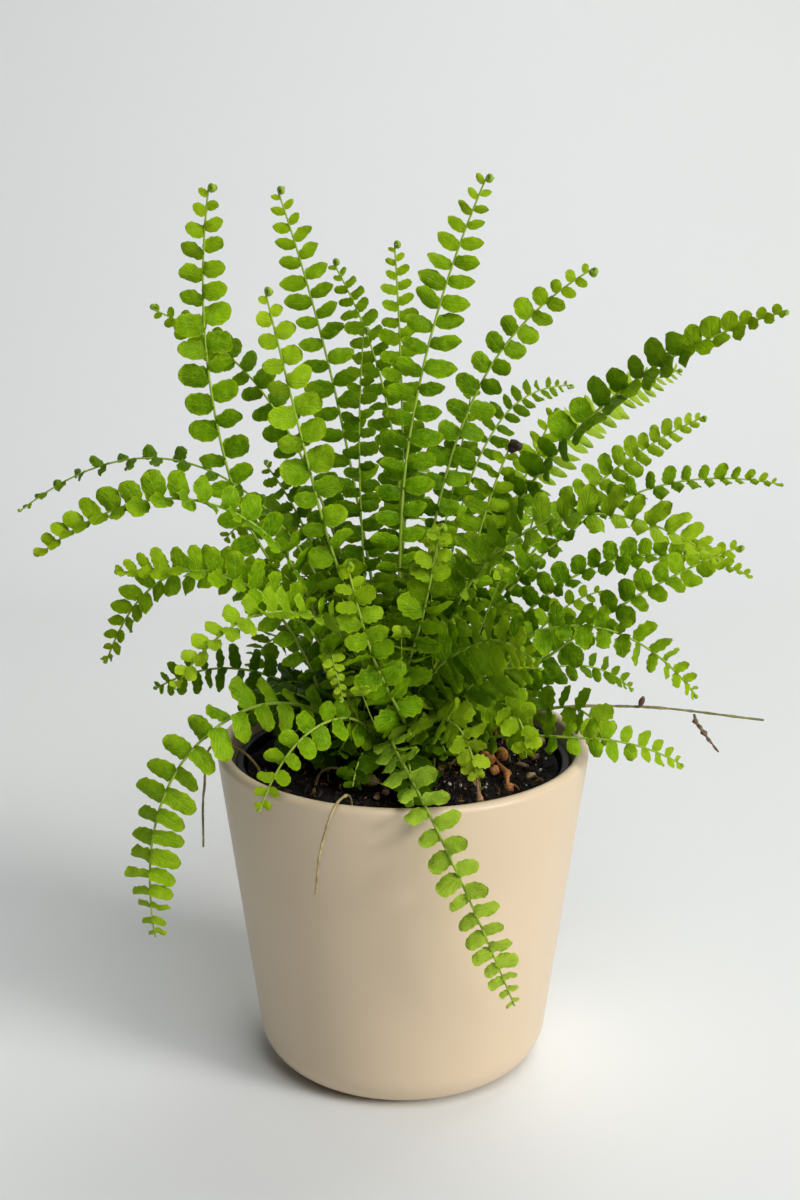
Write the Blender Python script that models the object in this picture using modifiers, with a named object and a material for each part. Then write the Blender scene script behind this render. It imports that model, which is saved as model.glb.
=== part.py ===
"""Potted lemon button fern: a fern tuft in a black nursery pot, which stands inside a smooth ceramic pot.

Lengths are written in millimetres and turned to metres where the meshes are made.
The origin is the middle of the ceramic pot's base, +Z is up and -Y is the front.
"""

import math

import bmesh
import bpy
import numpy as np
from mathutils import Vector
from mathutils.bvhtree import BVHTree

MM = 0.001
GAP = 0.3  # clearance between pieces that touch

# Ceramic pot
POT_HEIGHT = 118.0
POT_RIM_RADIUS = 65.0
POT_FOOT_RADIUS = 49.6  # where the straight side would meet the table
POT_WALL = 4.5
POT_FLOOR = 5.0
POT_CORNER = 15.0
POT_STEPS = 32
LIP_ARC_STEPS = 4
CORNER_ARC_STEPS = 4

# Nursery pot, black and thin, with a rolled rim and drain holes
NURSERY_TOP = 112.0
NURSERY_WALL = 1.2
NURSERY_RIM_DEPTH = 7.0
NURSERY_RIM_STEP = 1.6  # how far the rim band stands out from the side
NURSERY_STEPS = 24
NURSERY_INSET = 2.8  # from the ceramic pot's inner wall to the nursery pot's side
NURSERY_CORNER = 7.5
DRAIN_HOLES = 5
DRAIN_RADIUS = 4.0
DRAIN_RING = 27.0
DRAIN_SIDES = 8
CUT_MARGIN = 2.0  # how far a cutter stands past what it cuts

# Soil
SOIL_EDGE = 105.0  # height of the soil at the nursery pot's wall
SOIL_CROWN_RISE = 3.5
SOIL_LUMP = 0.8
SOIL_RINGS = (47.0, 34.0, 20.0)
HOLE_RADIUS = 1.5
HOLE_SIDES = 5
HOLE_SPACING = 4.2
STEM_DEPTH = 7.0  # how far a stem stands in the soil

# Fern
CROWN = (-1.0, 6.0)  # where the tuft grows from, seen from above
ROOT_NEAR = 4.0  # upright fronds stand this far from the crown's middle
ROOT_SPREAD = 22.0  # and flat ones this much further out
STEM_STEP = 21.0
RIB_HALF_WIDTH = 0.7
FOOT_POINTS = 4  # a blade's points at and below the soil's surface
RIB_TAPER = 0.35  # share of its width that the rib loses by the tip
BLADE_THICKNESS = 0.75
BLADE_CLEARANCE = 0.45  # room kept round a blade while the fronds are laid clear
LEAF_START = 0.34  # share of the rib that is bare stem
FIRST_RISE = 0.9  # how strongly a frond first rises straight up
CURVE_SAMPLES = 80
CLOSER_FROM = 0.35  # share of the leafy rib from which leaflets stand closer
CLOSER_BY = 0.42
SMALL_FROM = 0.4  # and from which they get smaller
SMALL_BY = 0.66
FIRST_LEAFLET = 0.72  # length of the lowest leaflets, as a share of the longest
LEAN = 0.16  # how far a leaflet points to the tip, as a share of its reach
LEAN_TO_ONE_SIDE = 0.10  # how much more on one side, so that pairs aren't quite opposite
LEAN_DRAW = 0.05
CUP_LEAST, CUP_MOST = -0.10, 0.22  # how far a leaflet's end hangs, as a share of its length
LATER_STARTS = (0.0, 0.10, 0.20, 0.32)
TIP_SHARES = (0.0, 0.7)
END_LEAFLET = 0.6  # length of the last leaflet, as a share of the step before it
BELLY_RINGS = 6
BELLY_RING_STEP = 4.0
ROOT_RINGS = 4
ROOT_RING_STEP = 4.5
SEED = 11

# A blade looks towards one of these
FRONT = (0.0, -1.0, 0.3)
TILTED = (0.0, -0.75, 0.65)
LEVEL = (0.0, -0.25, 1.0)
LEFTWARD = (-0.7, -0.6, 0.3)
BACKWARD = (0.0, 0.8, 0.6)

# A leaflet's outline, from its lower corner round to its upper one: share of the gap between
# two leaflets that it stands along the rib, share of its length outward, share of its cupping
ROUND_EDGE = ((0.14, 0.64, 0.5), (0.50, 1.0, 1.0), (0.86, 0.70, 0.5))
BLUNT_EDGE = ((0.20, 0.80, 0.6), (0.74, 0.98, 1.0))

# Leaflets: their length, how far apart they stand along the rib, and their outline
BROAD = (9.4, 10.2, ROUND_EDGE)
MIDDLE = (8.2, 10.7, BLUNT_EDGE)
SLIM = (6.8, 9.0, BLUNT_EDGE)
YOUNG = (5.8, 8.2, BLUNT_EDGE)
HANGING = (7.4, 9.0, ROUND_EDGE)

# Colours
BEIGE = (0.68, 0.56, 0.39)
BLACK = (0.012, 0.012, 0.013)
SOIL_BROWN = (0.02, 0.014, 0.009)
FRESH = (0.30, 0.52, 0.05)
GREEN = (0.12, 0.36, 0.03)
DEEP = (0.06, 0.22, 0.02)
PALE = (0.28, 0.50, 0.10)
WITHERED = (0.55, 0.27, 0.08)
DRY = (0.24, 0.15, 0.07)
RUNNER = (0.30, 0.27, 0.13)

# Fronds: name, tip, a point on the rib about midway, the way the blade looks, leaflet, colour.
# The first are laid first and keep their line, later ones are bent clear of them.
FRONDS = (
    ("tall_left", (-63, 5, 311), (-59, 12, 208), FRONT, BROAD, GREEN),
    ("bright_front", (-44, -25, 280), (-32, -22, 209), FRONT, BROAD, FRESH),
    ("tall_right", (28, 0, 314), (2, 0, 225), FRONT, MIDDLE, GREEN),
    ("tall_left_inner", (-43, 30, 307), (-20, 25, 220), FRONT, MIDDLE, GREEN),
    ("front_hang", (36, -76, 55), (-1, -52, 131), TILTED, HANGING, PALE),
    ("left_hang", (-84, -40, 62), (-54, -36, 141), LEFTWARD, BROAD, PALE),
    ("right_long", (126, -20, 270), (57, -5, 223), TILTED, BROAD, DEEP),
    ("right_upper", (66, 20, 281), (23, 20, 242), FRONT, MIDDLE, GREEN),
    ("left_broad", (-120, -30, 192), (-56, -30, 206), TILTED, BROAD, GREEN),
    ("right_broad", (101, -45, 195), (44, -40, 206), TILTED, BROAD, GREEN),
    ("left_near", (-71, -80, 163), (-40, -60, 183), LEVEL, BROAD, FRESH),
    ("left_thin", (-138, 35, 191), (-66, 30, 207), LEVEL, SLIM, GREEN),
    ("right_slim", (133, 20, 205), (65, 15, 195), TILTED, SLIM, GREEN),
    ("centre_back", (-3, 45, 287), (0, 35, 214), FRONT, MIDDLE, GREEN),
    ("right_drop", (98, -30, 144), (52, -30, 169), TILTED, MIDDLE, GREEN),
    ("right_rising", (115, -5, 190), (56, -15, 159), TILTED, MIDDLE, GREEN),
    ("right_mid", (109, 45, 225), (56, 30, 190), TILTED, SLIM, GREEN),
    ("left_drop", (-104, 5, 144), (-65, 5, 178), TILTED, MIDDLE, DEEP),
    ("left_slim", (-94, -35, 188), (-45, -40, 183), TILTED, SLIM, GREEN),
    ("right_rim", (96, -20, 116), (63, -25, 128), TILTED, MIDDLE, FRESH),
    ("right_dark", (125, 25, 170), (62, 20, 173), TILTED, SLIM, DEEP),
    ("right_pale", (106, 90, 234), (58, 70, 207), TILTED, MIDDLE, PALE),
    ("left_back", (-91, 55, 262), (-48, 50, 229), FRONT, MIDDLE, DEEP),
    ("back_curl", (-27, 100, 274), (-6, 75, 224), FRONT, MIDDLE, DEEP),
    ("left_low", (-92, 40, 123), (-52, 30, 133), TILTED, MIDDLE, DEEP),
    ("right_low_dark", (85, 35, 124), (56, 25, 137), TILTED, MIDDLE, DEEP),
    ("left_rim", (-47, -55, 113), (-25, -45, 141), FRONT, MIDDLE, GREEN),
    ("crinkled_front", (24, -50, 124), (17, -42, 139), FRONT, MIDDLE, FRESH),
    ("crinkled_mid", (41, -35, 125), (34, -28, 141), FRONT, YOUNG, FRESH),
    ("crinkled_right", (68, -22, 124), (53, -20, 138), FRONT, MIDDLE, FRESH),
    ("front_right", (41, -70, 170), (25, -50, 170), LEVEL, MIDDLE, GREEN),
    ("front_low", (46, -45, 159), (22, -40, 152), FRONT, MIDDLE, GREEN),
    ("front_centre", (12, -40, 207), (9, -35, 179), FRONT, MIDDLE, FRESH),
    ("front_left", (-18, -45, 195), (-12, -40, 171), FRONT, MIDDLE, GREEN),
    ("young_hang", (-19, -52, 150), (-23, -45, 164), FRONT, YOUNG, FRESH),
    ("centre_right", (53, 20, 233), (39, 20, 199), FRONT, MIDDLE, GREEN),
    ("centre_bead", (37, -5, 227), (23, -5, 195), FRONT, MIDDLE, GREEN),
    ("right_back", (62, 60, 233), (35, 45, 223), FRONT, SLIM, DEEP),
    ("young_back", (25, 35, 240), (21, 30, 219), FRONT, YOUNG, GREEN),
    ("young_curl", (-13, 15, 262), (-15, 15, 222), FRONT, YOUNG, DEEP),
    ("left_inner", (-51, 55, 206), (-37, 45, 186), FRONT, MIDDLE, DEEP),
    ("young_right", (71, 10, 170), (55, 8, 163), FRONT, YOUNG, FRESH),
    ("back_left", (-70, 95, 165), (-38, 60, 180), BACKWARD, MIDDLE, GREEN),
    ("back_mid", (5, 125, 175), (2, 75, 190), BACKWARD, BROAD, GREEN),
    ("back_right", (65, 105, 170), (38, 65, 175), BACKWARD, MIDDLE, DEEP),
    ("back_low_left", (-60, 85, 115), (-38, 55, 138), BACKWARD, MIDDLE, DEEP),
    ("back_low_right", (50, 90, 105), (30, 58, 138), BACKWARD, MIDDLE, GREEN),
    ("back_hang", (-8, 98, 80), (-5, 66, 142), BACKWARD, BROAD, GREEN),
    ("dry", (27, -54, 114), (28, -38, 119), TILTED, YOUNG, WITHERED),
)

# Bare strands: name, where they leave the soil and the points that they pass, radius, colour
STRANDS = (
    ("dry_stalk", ((20, 2), (44, 6, 126), (84, 10, 127), (128, 10, 122)), 0.6, DRY),
    ("runner_front", ((-17, -42), (-20, -62, 121), (-26, -69, 108), (-28, -71, 92)), 0.55, RUNNER),
    ("runner_left", ((-48, -12), (-63, -11, 121), (-69, -11, 104), (-70, -10, 82)), 0.55, RUNNER),
    ("soil_runner", ((-30, -18), (-24, -24, 117), (-8, -28, 113), (4, -25, 112)), 0.6, RUNNER),
)
STRAND_SAMPLES = 4


def unit(vector):
    """A vector of length one, or several in rows."""
    vector = np.asarray(vector, dtype=float)
    return vector / np.maximum(np.linalg.norm(vector, axis=-1, keepdims=True), 1e-9)


def pot_inner_radius(z):
    """Radius of the ceramic pot's inner wall at height z."""
    slope = (POT_RIM_RADIUS - POT_FOOT_RADIUS) / POT_HEIGHT
    return POT_FOOT_RADIUS + slope * z - POT_WALL


def soil_height(x, y):
    """Height of the soil's surface, which rises a little towards the crown and is lumpy."""
    radius = math.hypot(x, y)
    mound = SOIL_CROWN_RISE * (1.0 - (radius / pot_inner_radius(SOIL_EDGE)) ** 2)
    lumps = math.sin(0.23 * x + 0.9) * math.cos(0.19 * y - 0.4) + 0.6 * math.sin(0.41 * y + 0.17 * x)
    return SOIL_EDGE + mound + SOIL_LUMP * lumps


# Materials and objects


def material(name, colour, roughness):
    """A plain Principled finish."""
    finish = bpy.data.materials.new(name)
    finish.use_nodes = True
    shader = finish.node_tree.nodes["Principled BSDF"]
    shader.inputs["Base Color"].default_value = (*colour, 1.0)
    shader.inputs["Roughness"].default_value = roughness
    finish.diffuse_color = (*colour, 1.0)
    return finish


def add_object(name, data, collection, finish=None):
    """Links a new object for this mesh or curve."""
    piece = bpy.data.objects.new(name, data)
    if finish is not None:
        data.materials.append(finish)
    collection.objects.link(piece)
    return piece


def mesh_from(points, faces, name):
    """A mesh from points in millimetres."""
    mesh = bpy.data.meshes.new(name)
    mesh.from_pydata([tuple(MM * float(c) for c in p) for p in points], [], faces)
    return mesh


def turned(name, profile, steps, collection, finish):
    """A solid of revolution: the profile starts and ends on the axis, and its outer side runs down."""
    mesh = bpy.data.meshes.new(name)
    points = [(MM * radius, 0.0, MM * z) for radius, z in profile]
    mesh.from_pydata(points, [(i, i + 1) for i in range(len(points) - 1)], [])
    piece = add_object(name, mesh, collection, finish)
    screw = piece.modifiers.new("Turn", "SCREW")
    screw.steps = screw.render_steps = steps
    screw.use_merge_vertices = True
    screw.merge_threshold = 0.00001
    screw.use_smooth_shade = True
    return piece


def arc(centre, radius, start, end, steps):
    """Points along an arc in the profile's plane, angles in degrees."""
    angles = np.radians(np.linspace(start, end, steps + 1))
    return [(centre[0] + radius * math.cos(a), centre[1] + radius * math.sin(a)) for a in angles]


def applied(piece):
    """The object's evaluated mesh, in place of its modifiers."""
    graph = bpy.context.evaluated_depsgraph_get()
    mesh = bpy.data.meshes.new_from_object(piece.evaluated_get(graph))
    piece.modifiers.clear()
    piece.data = mesh
    return piece


def cut(piece, cutters):
    """Cuts every object of a collection out of the piece."""
    boolean = piece.modifiers.new("Cut", "BOOLEAN")
    boolean.operation = "DIFFERENCE"
    boolean.operand_type = "COLLECTION"
    boolean.collection = cutters
    boolean.solver = "EXACT"


def rod_cutter(name, place, span, radius, sides, collection):
    """An upright rod that cuts a hole from the lower to the upper height of its span."""
    (x, y), (bottom, top) = place, span
    shape = bmesh.new()
    wide, tall = MM * radius, MM * (top - bottom)
    bmesh.ops.create_cone(shape, cap_ends=True, segments=sides, radius1=wide, radius2=wide, depth=tall)
    mesh = bpy.data.meshes.new(name)
    shape.to_mesh(mesh)
    shape.free()
    rod = add_object(name, mesh, collection)
    rod.location = (MM * x, MM * y, MM * (bottom + top) / 2)
    rod.hide_render = True
    rod.display_type = "WIRE"
    return rod


# Pots and soil


def ceramic_pot(collection):
    """The outer pot: a straight cone with a round lip, a round bottom corner and a flat base."""
    slope = math.degrees(math.atan((POT_RIM_RADIUS - POT_FOOT_RADIUS) / POT_HEIGHT))
    inner_corner = POT_CORNER - POT_WALL
    lean = math.radians(slope)
    foot = POT_FOOT_RADIUS - POT_CORNER * math.tan(math.pi / 4 - lean / 2) * math.cos(lean)
    lip_middle = (POT_RIM_RADIUS - POT_WALL / 2, POT_HEIGHT - POT_WALL / 2)
    profile = [(0.0, POT_FLOOR)]
    profile += arc((foot, POT_FLOOR + inner_corner), inner_corner, -90, -slope, CORNER_ARC_STEPS - 1)
    profile += arc(lip_middle, POT_WALL / 2, 180 - slope, -slope, LIP_ARC_STEPS)
    profile += arc((foot, POT_CORNER), POT_CORNER, -slope, -90, CORNER_ARC_STEPS)
    profile += [(0.0, 0.0)]
    return turned("cachepot", profile, POT_STEPS, collection, material("Beige ceramic", BEIGE, 0.45))


def nursery_outer_radius(z):
    """Radius of the nursery pot's side, which follows the ceramic pot's inner wall."""
    return pot_inner_radius(z) - NURSERY_INSET


def nursery_pot(collection, cutters):
    """The thin black pot that holds the soil."""
    base = POT_FLOOR + GAP
    base_radius = nursery_outer_radius(base) - NURSERY_CORNER
    side_foot = base + NURSERY_CORNER
    band = NURSERY_TOP - NURSERY_RIM_DEPTH
    top_radius = nursery_outer_radius(NURSERY_TOP) + NURSERY_RIM_STEP
    band_radius = nursery_outer_radius(band) + NURSERY_RIM_STEP
    wall = NURSERY_WALL
    profile = [
        (0.0, base + wall),
        (base_radius - wall / 2, base + wall),
        (nursery_outer_radius(side_foot) - wall, side_foot),
        (nursery_outer_radius(NURSERY_TOP) - wall, NURSERY_TOP),
        (top_radius, NURSERY_TOP),
        (band_radius, band),
        (nursery_outer_radius(band), band),
        (nursery_outer_radius(side_foot), side_foot),
        (base_radius, base),
        (0.0, base),
    ]
    pot = turned("nursery_pot", profile, NURSERY_STEPS, collection, material("Black plastic", BLACK, 0.5))
    for number in range(DRAIN_HOLES):
        turn = 2 * math.pi * number / DRAIN_HOLES
        x, y = DRAIN_RING * math.cos(turn), DRAIN_RING * math.sin(turn)
        span = (base - CUT_MARGIN, base + wall + CUT_MARGIN)
        rod_cutter(f"drain_{number}", (x, y), span, DRAIN_RADIUS, DRAIN_SIDES, cutters)
    cut(pot, cutters)
    return pot


def soil_body(collection):
    """The soil: it fills the nursery pot, and its top is raised by soil_height."""
    base = POT_FLOOR + GAP + NURSERY_WALL + GAP
    clear = NURSERY_WALL + GAP
    side_foot = POT_FLOOR + GAP + NURSERY_CORNER
    base_radius = nursery_outer_radius(POT_FLOOR) - NURSERY_CORNER - clear
    edge = nursery_outer_radius(SOIL_EDGE) - clear
    profile = [(0.0, SOIL_EDGE)]
    profile += [(radius, SOIL_EDGE) for radius in reversed(SOIL_RINGS)]
    profile += [(edge, SOIL_EDGE), (nursery_outer_radius(side_foot) - clear, side_foot)]
    profile += [(base_radius, base), (0.0, base)]
    soil = turned("soil", profile, NURSERY_STEPS, collection, material("Potting soil", SOIL_BROWN, 0.95))
    applied(soil)
    inside = (SOIL_RINGS[0] + edge) / 2
    for vertex in soil.data.vertices:
        x, y, z = (c / MM for c in vertex.co)
        if z > side_foot and math.hypot(x, y) < inside:
            vertex.co.z = MM * soil_height(x, y)
    return soil


# Ribs and blades


def hermite(start, end, leave, arrive, samples):
    """Points along a cubic between two points with these end directions, whose length is their pull."""
    t = np.linspace(0.0, 1.0, samples)[:, None]
    return (
        (2 * t**3 - 3 * t**2 + 1) * start
        + (t**3 - 2 * t**2 + t) * leave
        + (3 * t**2 - 2 * t**3) * end
        + (t**3 - t**2) * arrive
    )


def rib_curve(root, belly, tip):
    """A smooth line that leaves the soil straight up, passes the belly point and ends at the tip."""
    root, belly, tip = (np.array(p, dtype=float) for p in (root, belly, tip))
    lower, upper = np.linalg.norm(belly - root), np.linalg.norm(tip - belly)
    through = unit((belly - root) / lower + (tip - belly) / upper)
    rise = np.array((0.0, 0.0, FIRST_RISE * lower))
    below = hermite(root, belly, rise, lower * through, CURVE_SAMPLES)
    end = 2 * (tip - belly) - upper * through
    above = hermite(belly, tip, upper * through, end, CURVE_SAMPLES)
    return np.concatenate([below, above[1:]])


def frames_along(points, looks):
    """Tangents, sides and normals along a line: the blade looks that way midway, and isn't twisted."""
    tangents = unit(np.gradient(points, axis=0))
    middle = len(points) // 2
    normals = np.zeros_like(points)
    normals[middle] = unit(np.array(looks) - np.dot(looks, tangents[middle]) * tangents[middle])
    for order in (range(middle + 1, len(points)), range(middle - 1, -1, -1)):
        last = normals[middle]
        for i in order:
            last = unit(last - np.dot(last, tangents[i]) * tangents[i])
            normals[i] = last
    return tangents, np.cross(tangents, normals), normals


def stations(length, start, spacing):
    """Distances along the rib: bare stem first, then one for each pair of leaflets, closer at the tip."""
    bare = max(2, round(start * length / STEM_STEP))
    places = list(np.linspace(0.0, start * length, bare + 1))
    leafy = len(places) - 1
    while True:
        share = (places[-1] / length - start) / (1.0 - start)
        step = spacing * (1.0 - CLOSER_BY * max(0.0, (share - CLOSER_FROM) / (1.0 - CLOSER_FROM)))
        if places[-1] + 1.5 * step > length:
            break
        places.append(places[-1] + step)
    places = np.array(places)
    room = (length - END_LEAFLET * step - places[leafy]) / (places[-1] - places[leafy])
    places[leafy:] = places[leafy] + room * (places[leafy:] - places[leafy])
    return np.append(places, length), leafy


def leaflet_length(share, longest):
    """Leaflets are longest a third of the way up the blade and shrink to the tip."""
    low = min(1.0, FIRST_LEAFLET + share)
    high = 1.0 - SMALL_BY * max(0.0, (share - SMALL_FROM) / (1.0 - SMALL_FROM)) ** 1.5
    return longest * low * high


def blade_surface(name, curve, looks, leaflet, start, grow=0.0):
    """The frond as an open surface: a narrow rib strip, and leaflets cut in to it on both sides."""
    longest, spacing, outline = leaflet
    draw = np.random.default_rng(SEED + sum(name.encode()))
    tangents, sides, normals = frames_along(curve, looks)
    walked = np.concatenate([[0.0], np.cumsum(np.linalg.norm(np.diff(curve, axis=0), axis=1))])
    length = walked[-1]
    places, leafy = stations(length, start, spacing)

    def at(rows, place):
        return np.array([np.interp(place, walked, rows[:, axis]) for axis in range(3)])

    half = RIB_HALF_WIDTH + grow / 2
    foot = curve[0] - np.array((0.0, 0.0, STEM_DEPTH))
    points, faces = [foot - half * sides[0], foot + half * sides[0]], []
    for place in places[:-1]:
        centre, side = at(curve, place), unit(at(sides, place))
        narrow = half * (1.0 - RIB_TAPER * place / length)
        left, right = len(points), len(points) + 1
        points += [centre - narrow * side, centre + narrow * side]
        faces += [(left - 2, right - 2, right), (left - 2, right, left)]
    tip = len(points)
    points.append(curve[-1])
    faces.append((tip - 2, tip - 1, tip))

    for pair in range(leafy, len(places) - 2):
        near, far = places[pair], places[pair + 1]
        step, middle = far - near, (near + far) / 2
        share = (near / length - start) / (1.0 - start)
        out = leaflet_length(share, longest) + grow
        for hand in (-1, 1):
            base = 2 + 2 * pair + (0 if hand < 0 else 1)
            lean = LEAN + LEAN_TO_ONE_SIDE * hand + draw.uniform(-LEAN_DRAW, LEAN_DRAW)
            cup = draw.uniform(CUP_LEAST, CUP_MOST)
            rim = []
            for along, reach, rise in outline:
                place = min(near + along * step + lean * reach * out, length)
                forward = (place - middle) * unit(at(tangents, middle))
                outward = hand * reach * out * unit(at(sides, place))
                hang = rise * cup * out * unit(at(normals, place))
                rim.append(at(curve, middle) + forward + outward - hang)
            loop = [base, *range(len(points), len(points) + len(rim)), base + 2]
            points += rim
            if hand < 0:
                loop.reverse()
            faces += [(loop[0], loop[i], loop[i + 1]) for i in range(1, len(loop) - 1)]
    return np.array(points), faces


def slab_tree(points, faces, thickness):
    """A search tree of the blade with its thickness, to find what it would touch."""
    ups = np.zeros_like(points)
    for a, b, c in faces:
        cross = np.cross(points[b] - points[a], points[c] - points[a])
        for corner in (a, b, c):
            ups[corner] += cross
    ups = unit(ups) * thickness / 2
    count = len(points)
    corners = [Vector(p) for p in np.concatenate([points + ups, points - ups])]
    edges = {}
    for face in faces:
        for a, b in zip(face, face[1:] + face[:1]):
            edges[(a, b)] = edges.get((a, b), 0) + 1
    walls = [(a, b) for a, b in edges if (b, a) not in edges]
    shell = list(faces) + [tuple(i + count for i in face) for face in faces]
    shell += [(a, b, b + count) for a, b in walls] + [(a, b + count, a + count) for a, b in walls]
    return BVHTree.FromPolygons(corners, shell)


def offsets(rings, step):
    """Nothing first, then offsets in growing rings of eight, each ring turned against the last."""
    yield 0.0, 0.0
    for ring in range(1, rings + 1):
        for turn in range(8):
            angle = math.pi * (turn / 4 + ring / 8)
            yield ring * step * math.cos(angle), ring * step * math.sin(angle)


def bends():
    """Ways to bend a frond clear, the smallest first: its belly and tip moved, its root, fewer leaflets."""
    for later in LATER_STARTS:
        for tip_share in TIP_SHARES:
            for belly in offsets(BELLY_RINGS, BELLY_RING_STEP):
                for root in offsets(ROOT_RINGS, ROOT_RING_STEP):
                    yield later, tip_share, belly, root


def bent_rib(tip, belly, tip_share, offset, shift):
    """The rib's line with its root moved, and its belly and tip moved across the line between them."""
    heading = np.array((belly[0] - CROWN[0], belly[1] - CROWN[1]))
    run = np.linalg.norm(heading)
    heading = heading / run
    steep = (belly[2] - SOIL_EDGE) / math.hypot(run, belly[2] - SOIL_EDGE)
    distance = ROOT_NEAR + ROOT_SPREAD * (1.0 - steep)
    x, y = np.array(CROWN) + heading * (distance + shift[0]) + np.array((-heading[1], heading[0])) * shift[1]
    root = np.array((x, y, soil_height(x, y)))
    chord = unit(np.array(tip) - root)
    across = unit(np.cross(chord, (0.0, 0.0, 1.0)))
    move = offset[0] * across + offset[1] * np.cross(across, chord)
    return rib_curve(root, np.array(belly) + move, np.array(tip) + tip_share * move)


def lay_frond(row, placed, solids, roots):
    """The first way to bend this frond in which it touches nothing laid before it."""
    name, tip, belly, looks, leaflet, _ = row
    roomy = BLADE_THICKNESS + 2 * BLADE_CLEARANCE
    for later, tip_share, offset, shift in bends():
        curve = bent_rib(tip, belly, tip_share, offset, shift)
        root = curve[0]
        if any(math.hypot(root[0] - x, root[1] - y) < HOLE_SPACING for x, y in roots):
            continue
        start = LEAF_START + later
        points, faces = blade_surface(name, curve, looks, leaflet, start, BLADE_CLEARANCE)
        fat = slab_tree(points, faces, roomy)
        if any(fat.overlap(other) for other in placed):
            continue
        above = [face for face in faces if min(face) >= FOOT_POINTS]
        upper = slab_tree(points, above, roomy)
        if any(upper.overlap(solid) for solid in solids):
            continue
        placed.append(fat)
        roots.append((root[0], root[1]))
        return curve, start
    return None


def solid_tree(piece):
    """A search tree of an object's evaluated mesh, in millimetres."""
    graph = bpy.context.evaluated_depsgraph_get()
    mesh = piece.evaluated_get(graph).to_mesh()
    corners = [vertex.co / MM for vertex in mesh.vertices]
    return BVHTree.FromPolygons(corners, [tuple(face.vertices) for face in mesh.polygons])


def frond(row, curve, start, collection, finish):
    """One frond as a thin arched blade."""
    name, _, _, looks, leaflet, _ = row
    points, faces = blade_surface(name, curve, looks, leaflet, start)
    piece = add_object(f"frond_{name}", mesh_from(points, faces, name), collection, finish)
    solid = piece.modifiers.new("Thickness", "SOLIDIFY")
    solid.thickness = MM * BLADE_THICKNESS
    solid.offset = 0.0
    return piece


def strand_path(points):
    """A smooth line from the foot of a strand in its hole through its points."""
    (x, y), *others = points
    ground = soil_height(x, y)
    knots = [np.array((x, y, ground))] + [np.array(p, dtype=float) for p in others]
    path = [np.array((x, y, ground - STEM_DEPTH)), knots[0]]
    leave = np.array((0.0, 0.0, np.linalg.norm(knots[1] - knots[0])))
    for number in range(len(knots) - 1):
        start, end = knots[number], knots[number + 1]
        after = knots[min(number + 2, len(knots) - 1)]
        arrive = unit(after - start) * np.linalg.norm(end - start)
        path += list(hermite(start, end, leave, arrive, STRAND_SAMPLES)[1:])
        leave = arrive
    return path


def strand(name, points, radius, collection, finish):
    """A bare stalk or runner: a thin tube with closed ends."""
    path = strand_path(points)
    data = bpy.data.curves.new(name, "CURVE")
    data.dimensions = "3D"
    data.bevel_depth = MM * radius
    data.bevel_resolution = 0
    data.use_fill_caps = True
    line = data.splines.new("POLY")
    line.points.add(len(path) - 1)
    for point, place in zip(line.points, path):
        point.co = (*(MM * c for c in place), 1.0)
    return add_object(name, data, collection, finish)


def build():
    """Builds the pots, the soil and the fern."""
    for old in list(bpy.data.objects):
        bpy.data.objects.remove(old)
    collection = bpy.data.collections.new("Potted lemon button fern")
    drains = bpy.data.collections.new("Drain cutters")
    holes = bpy.data.collections.new("Stem hole cutters")
    for group in (collection, drains, holes):
        bpy.context.scene.collection.children.link(group)

    soil = soil_body(collection)
    pieces = [ceramic_pot(collection), nursery_pot(collection, drains), soil]
    roots = []
    for name, points, radius, colour in STRANDS:
        pieces.append(strand(name, points, radius, collection, material(name, colour, 0.8)))
        roots.append(points[0])
    solids = [solid_tree(piece) for piece in pieces]

    placed, finishes = [], {}
    for row in FRONDS:
        laid = lay_frond(row, placed, solids, roots)
        if laid is None:
            raise ValueError(f"no room for frond {row[0]}")
        curve, start = laid
        colour = row[-1]
        if colour not in finishes:
            finishes[colour] = material(f"Fern leaf {len(finishes) + 1}", colour, 0.5)
        frond(row, curve, start, collection, finishes[colour])

    for number, (x, y) in enumerate(roots):
        ground = soil_height(x, y)
        span = (ground - STEM_DEPTH - GAP, ground + STEM_DEPTH)
        rod_cutter(f"hole_{number}", (x, y), span, HOLE_RADIUS, HOLE_SIDES, holes)
    cut(soil, holes)


build()
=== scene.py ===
"""Looks of the potted lemon button fern: a tuft of fronds in a nursery pot inside a ceramic one."""

import math

import bmesh
import bpy
import numpy as np
from mathutils import Matrix, Vector, noise
from mathutils.bvhtree import BVHTree


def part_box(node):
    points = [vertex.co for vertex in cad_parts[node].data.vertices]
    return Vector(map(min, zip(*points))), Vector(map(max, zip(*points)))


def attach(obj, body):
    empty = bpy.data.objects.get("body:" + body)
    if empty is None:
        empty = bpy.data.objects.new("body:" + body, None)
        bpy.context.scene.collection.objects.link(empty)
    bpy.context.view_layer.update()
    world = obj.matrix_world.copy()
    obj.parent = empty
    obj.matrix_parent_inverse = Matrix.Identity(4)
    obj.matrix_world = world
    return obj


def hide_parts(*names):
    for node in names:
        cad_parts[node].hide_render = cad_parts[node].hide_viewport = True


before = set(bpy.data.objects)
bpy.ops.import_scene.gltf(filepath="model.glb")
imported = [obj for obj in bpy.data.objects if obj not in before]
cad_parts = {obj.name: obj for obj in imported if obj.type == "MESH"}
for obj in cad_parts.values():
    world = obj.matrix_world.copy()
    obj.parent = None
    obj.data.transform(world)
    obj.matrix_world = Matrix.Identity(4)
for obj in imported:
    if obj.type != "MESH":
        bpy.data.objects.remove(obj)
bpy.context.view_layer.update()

# The view
# A portrait frame, seen from a little above the fern's middle, with a short telephoto lens.

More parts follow.
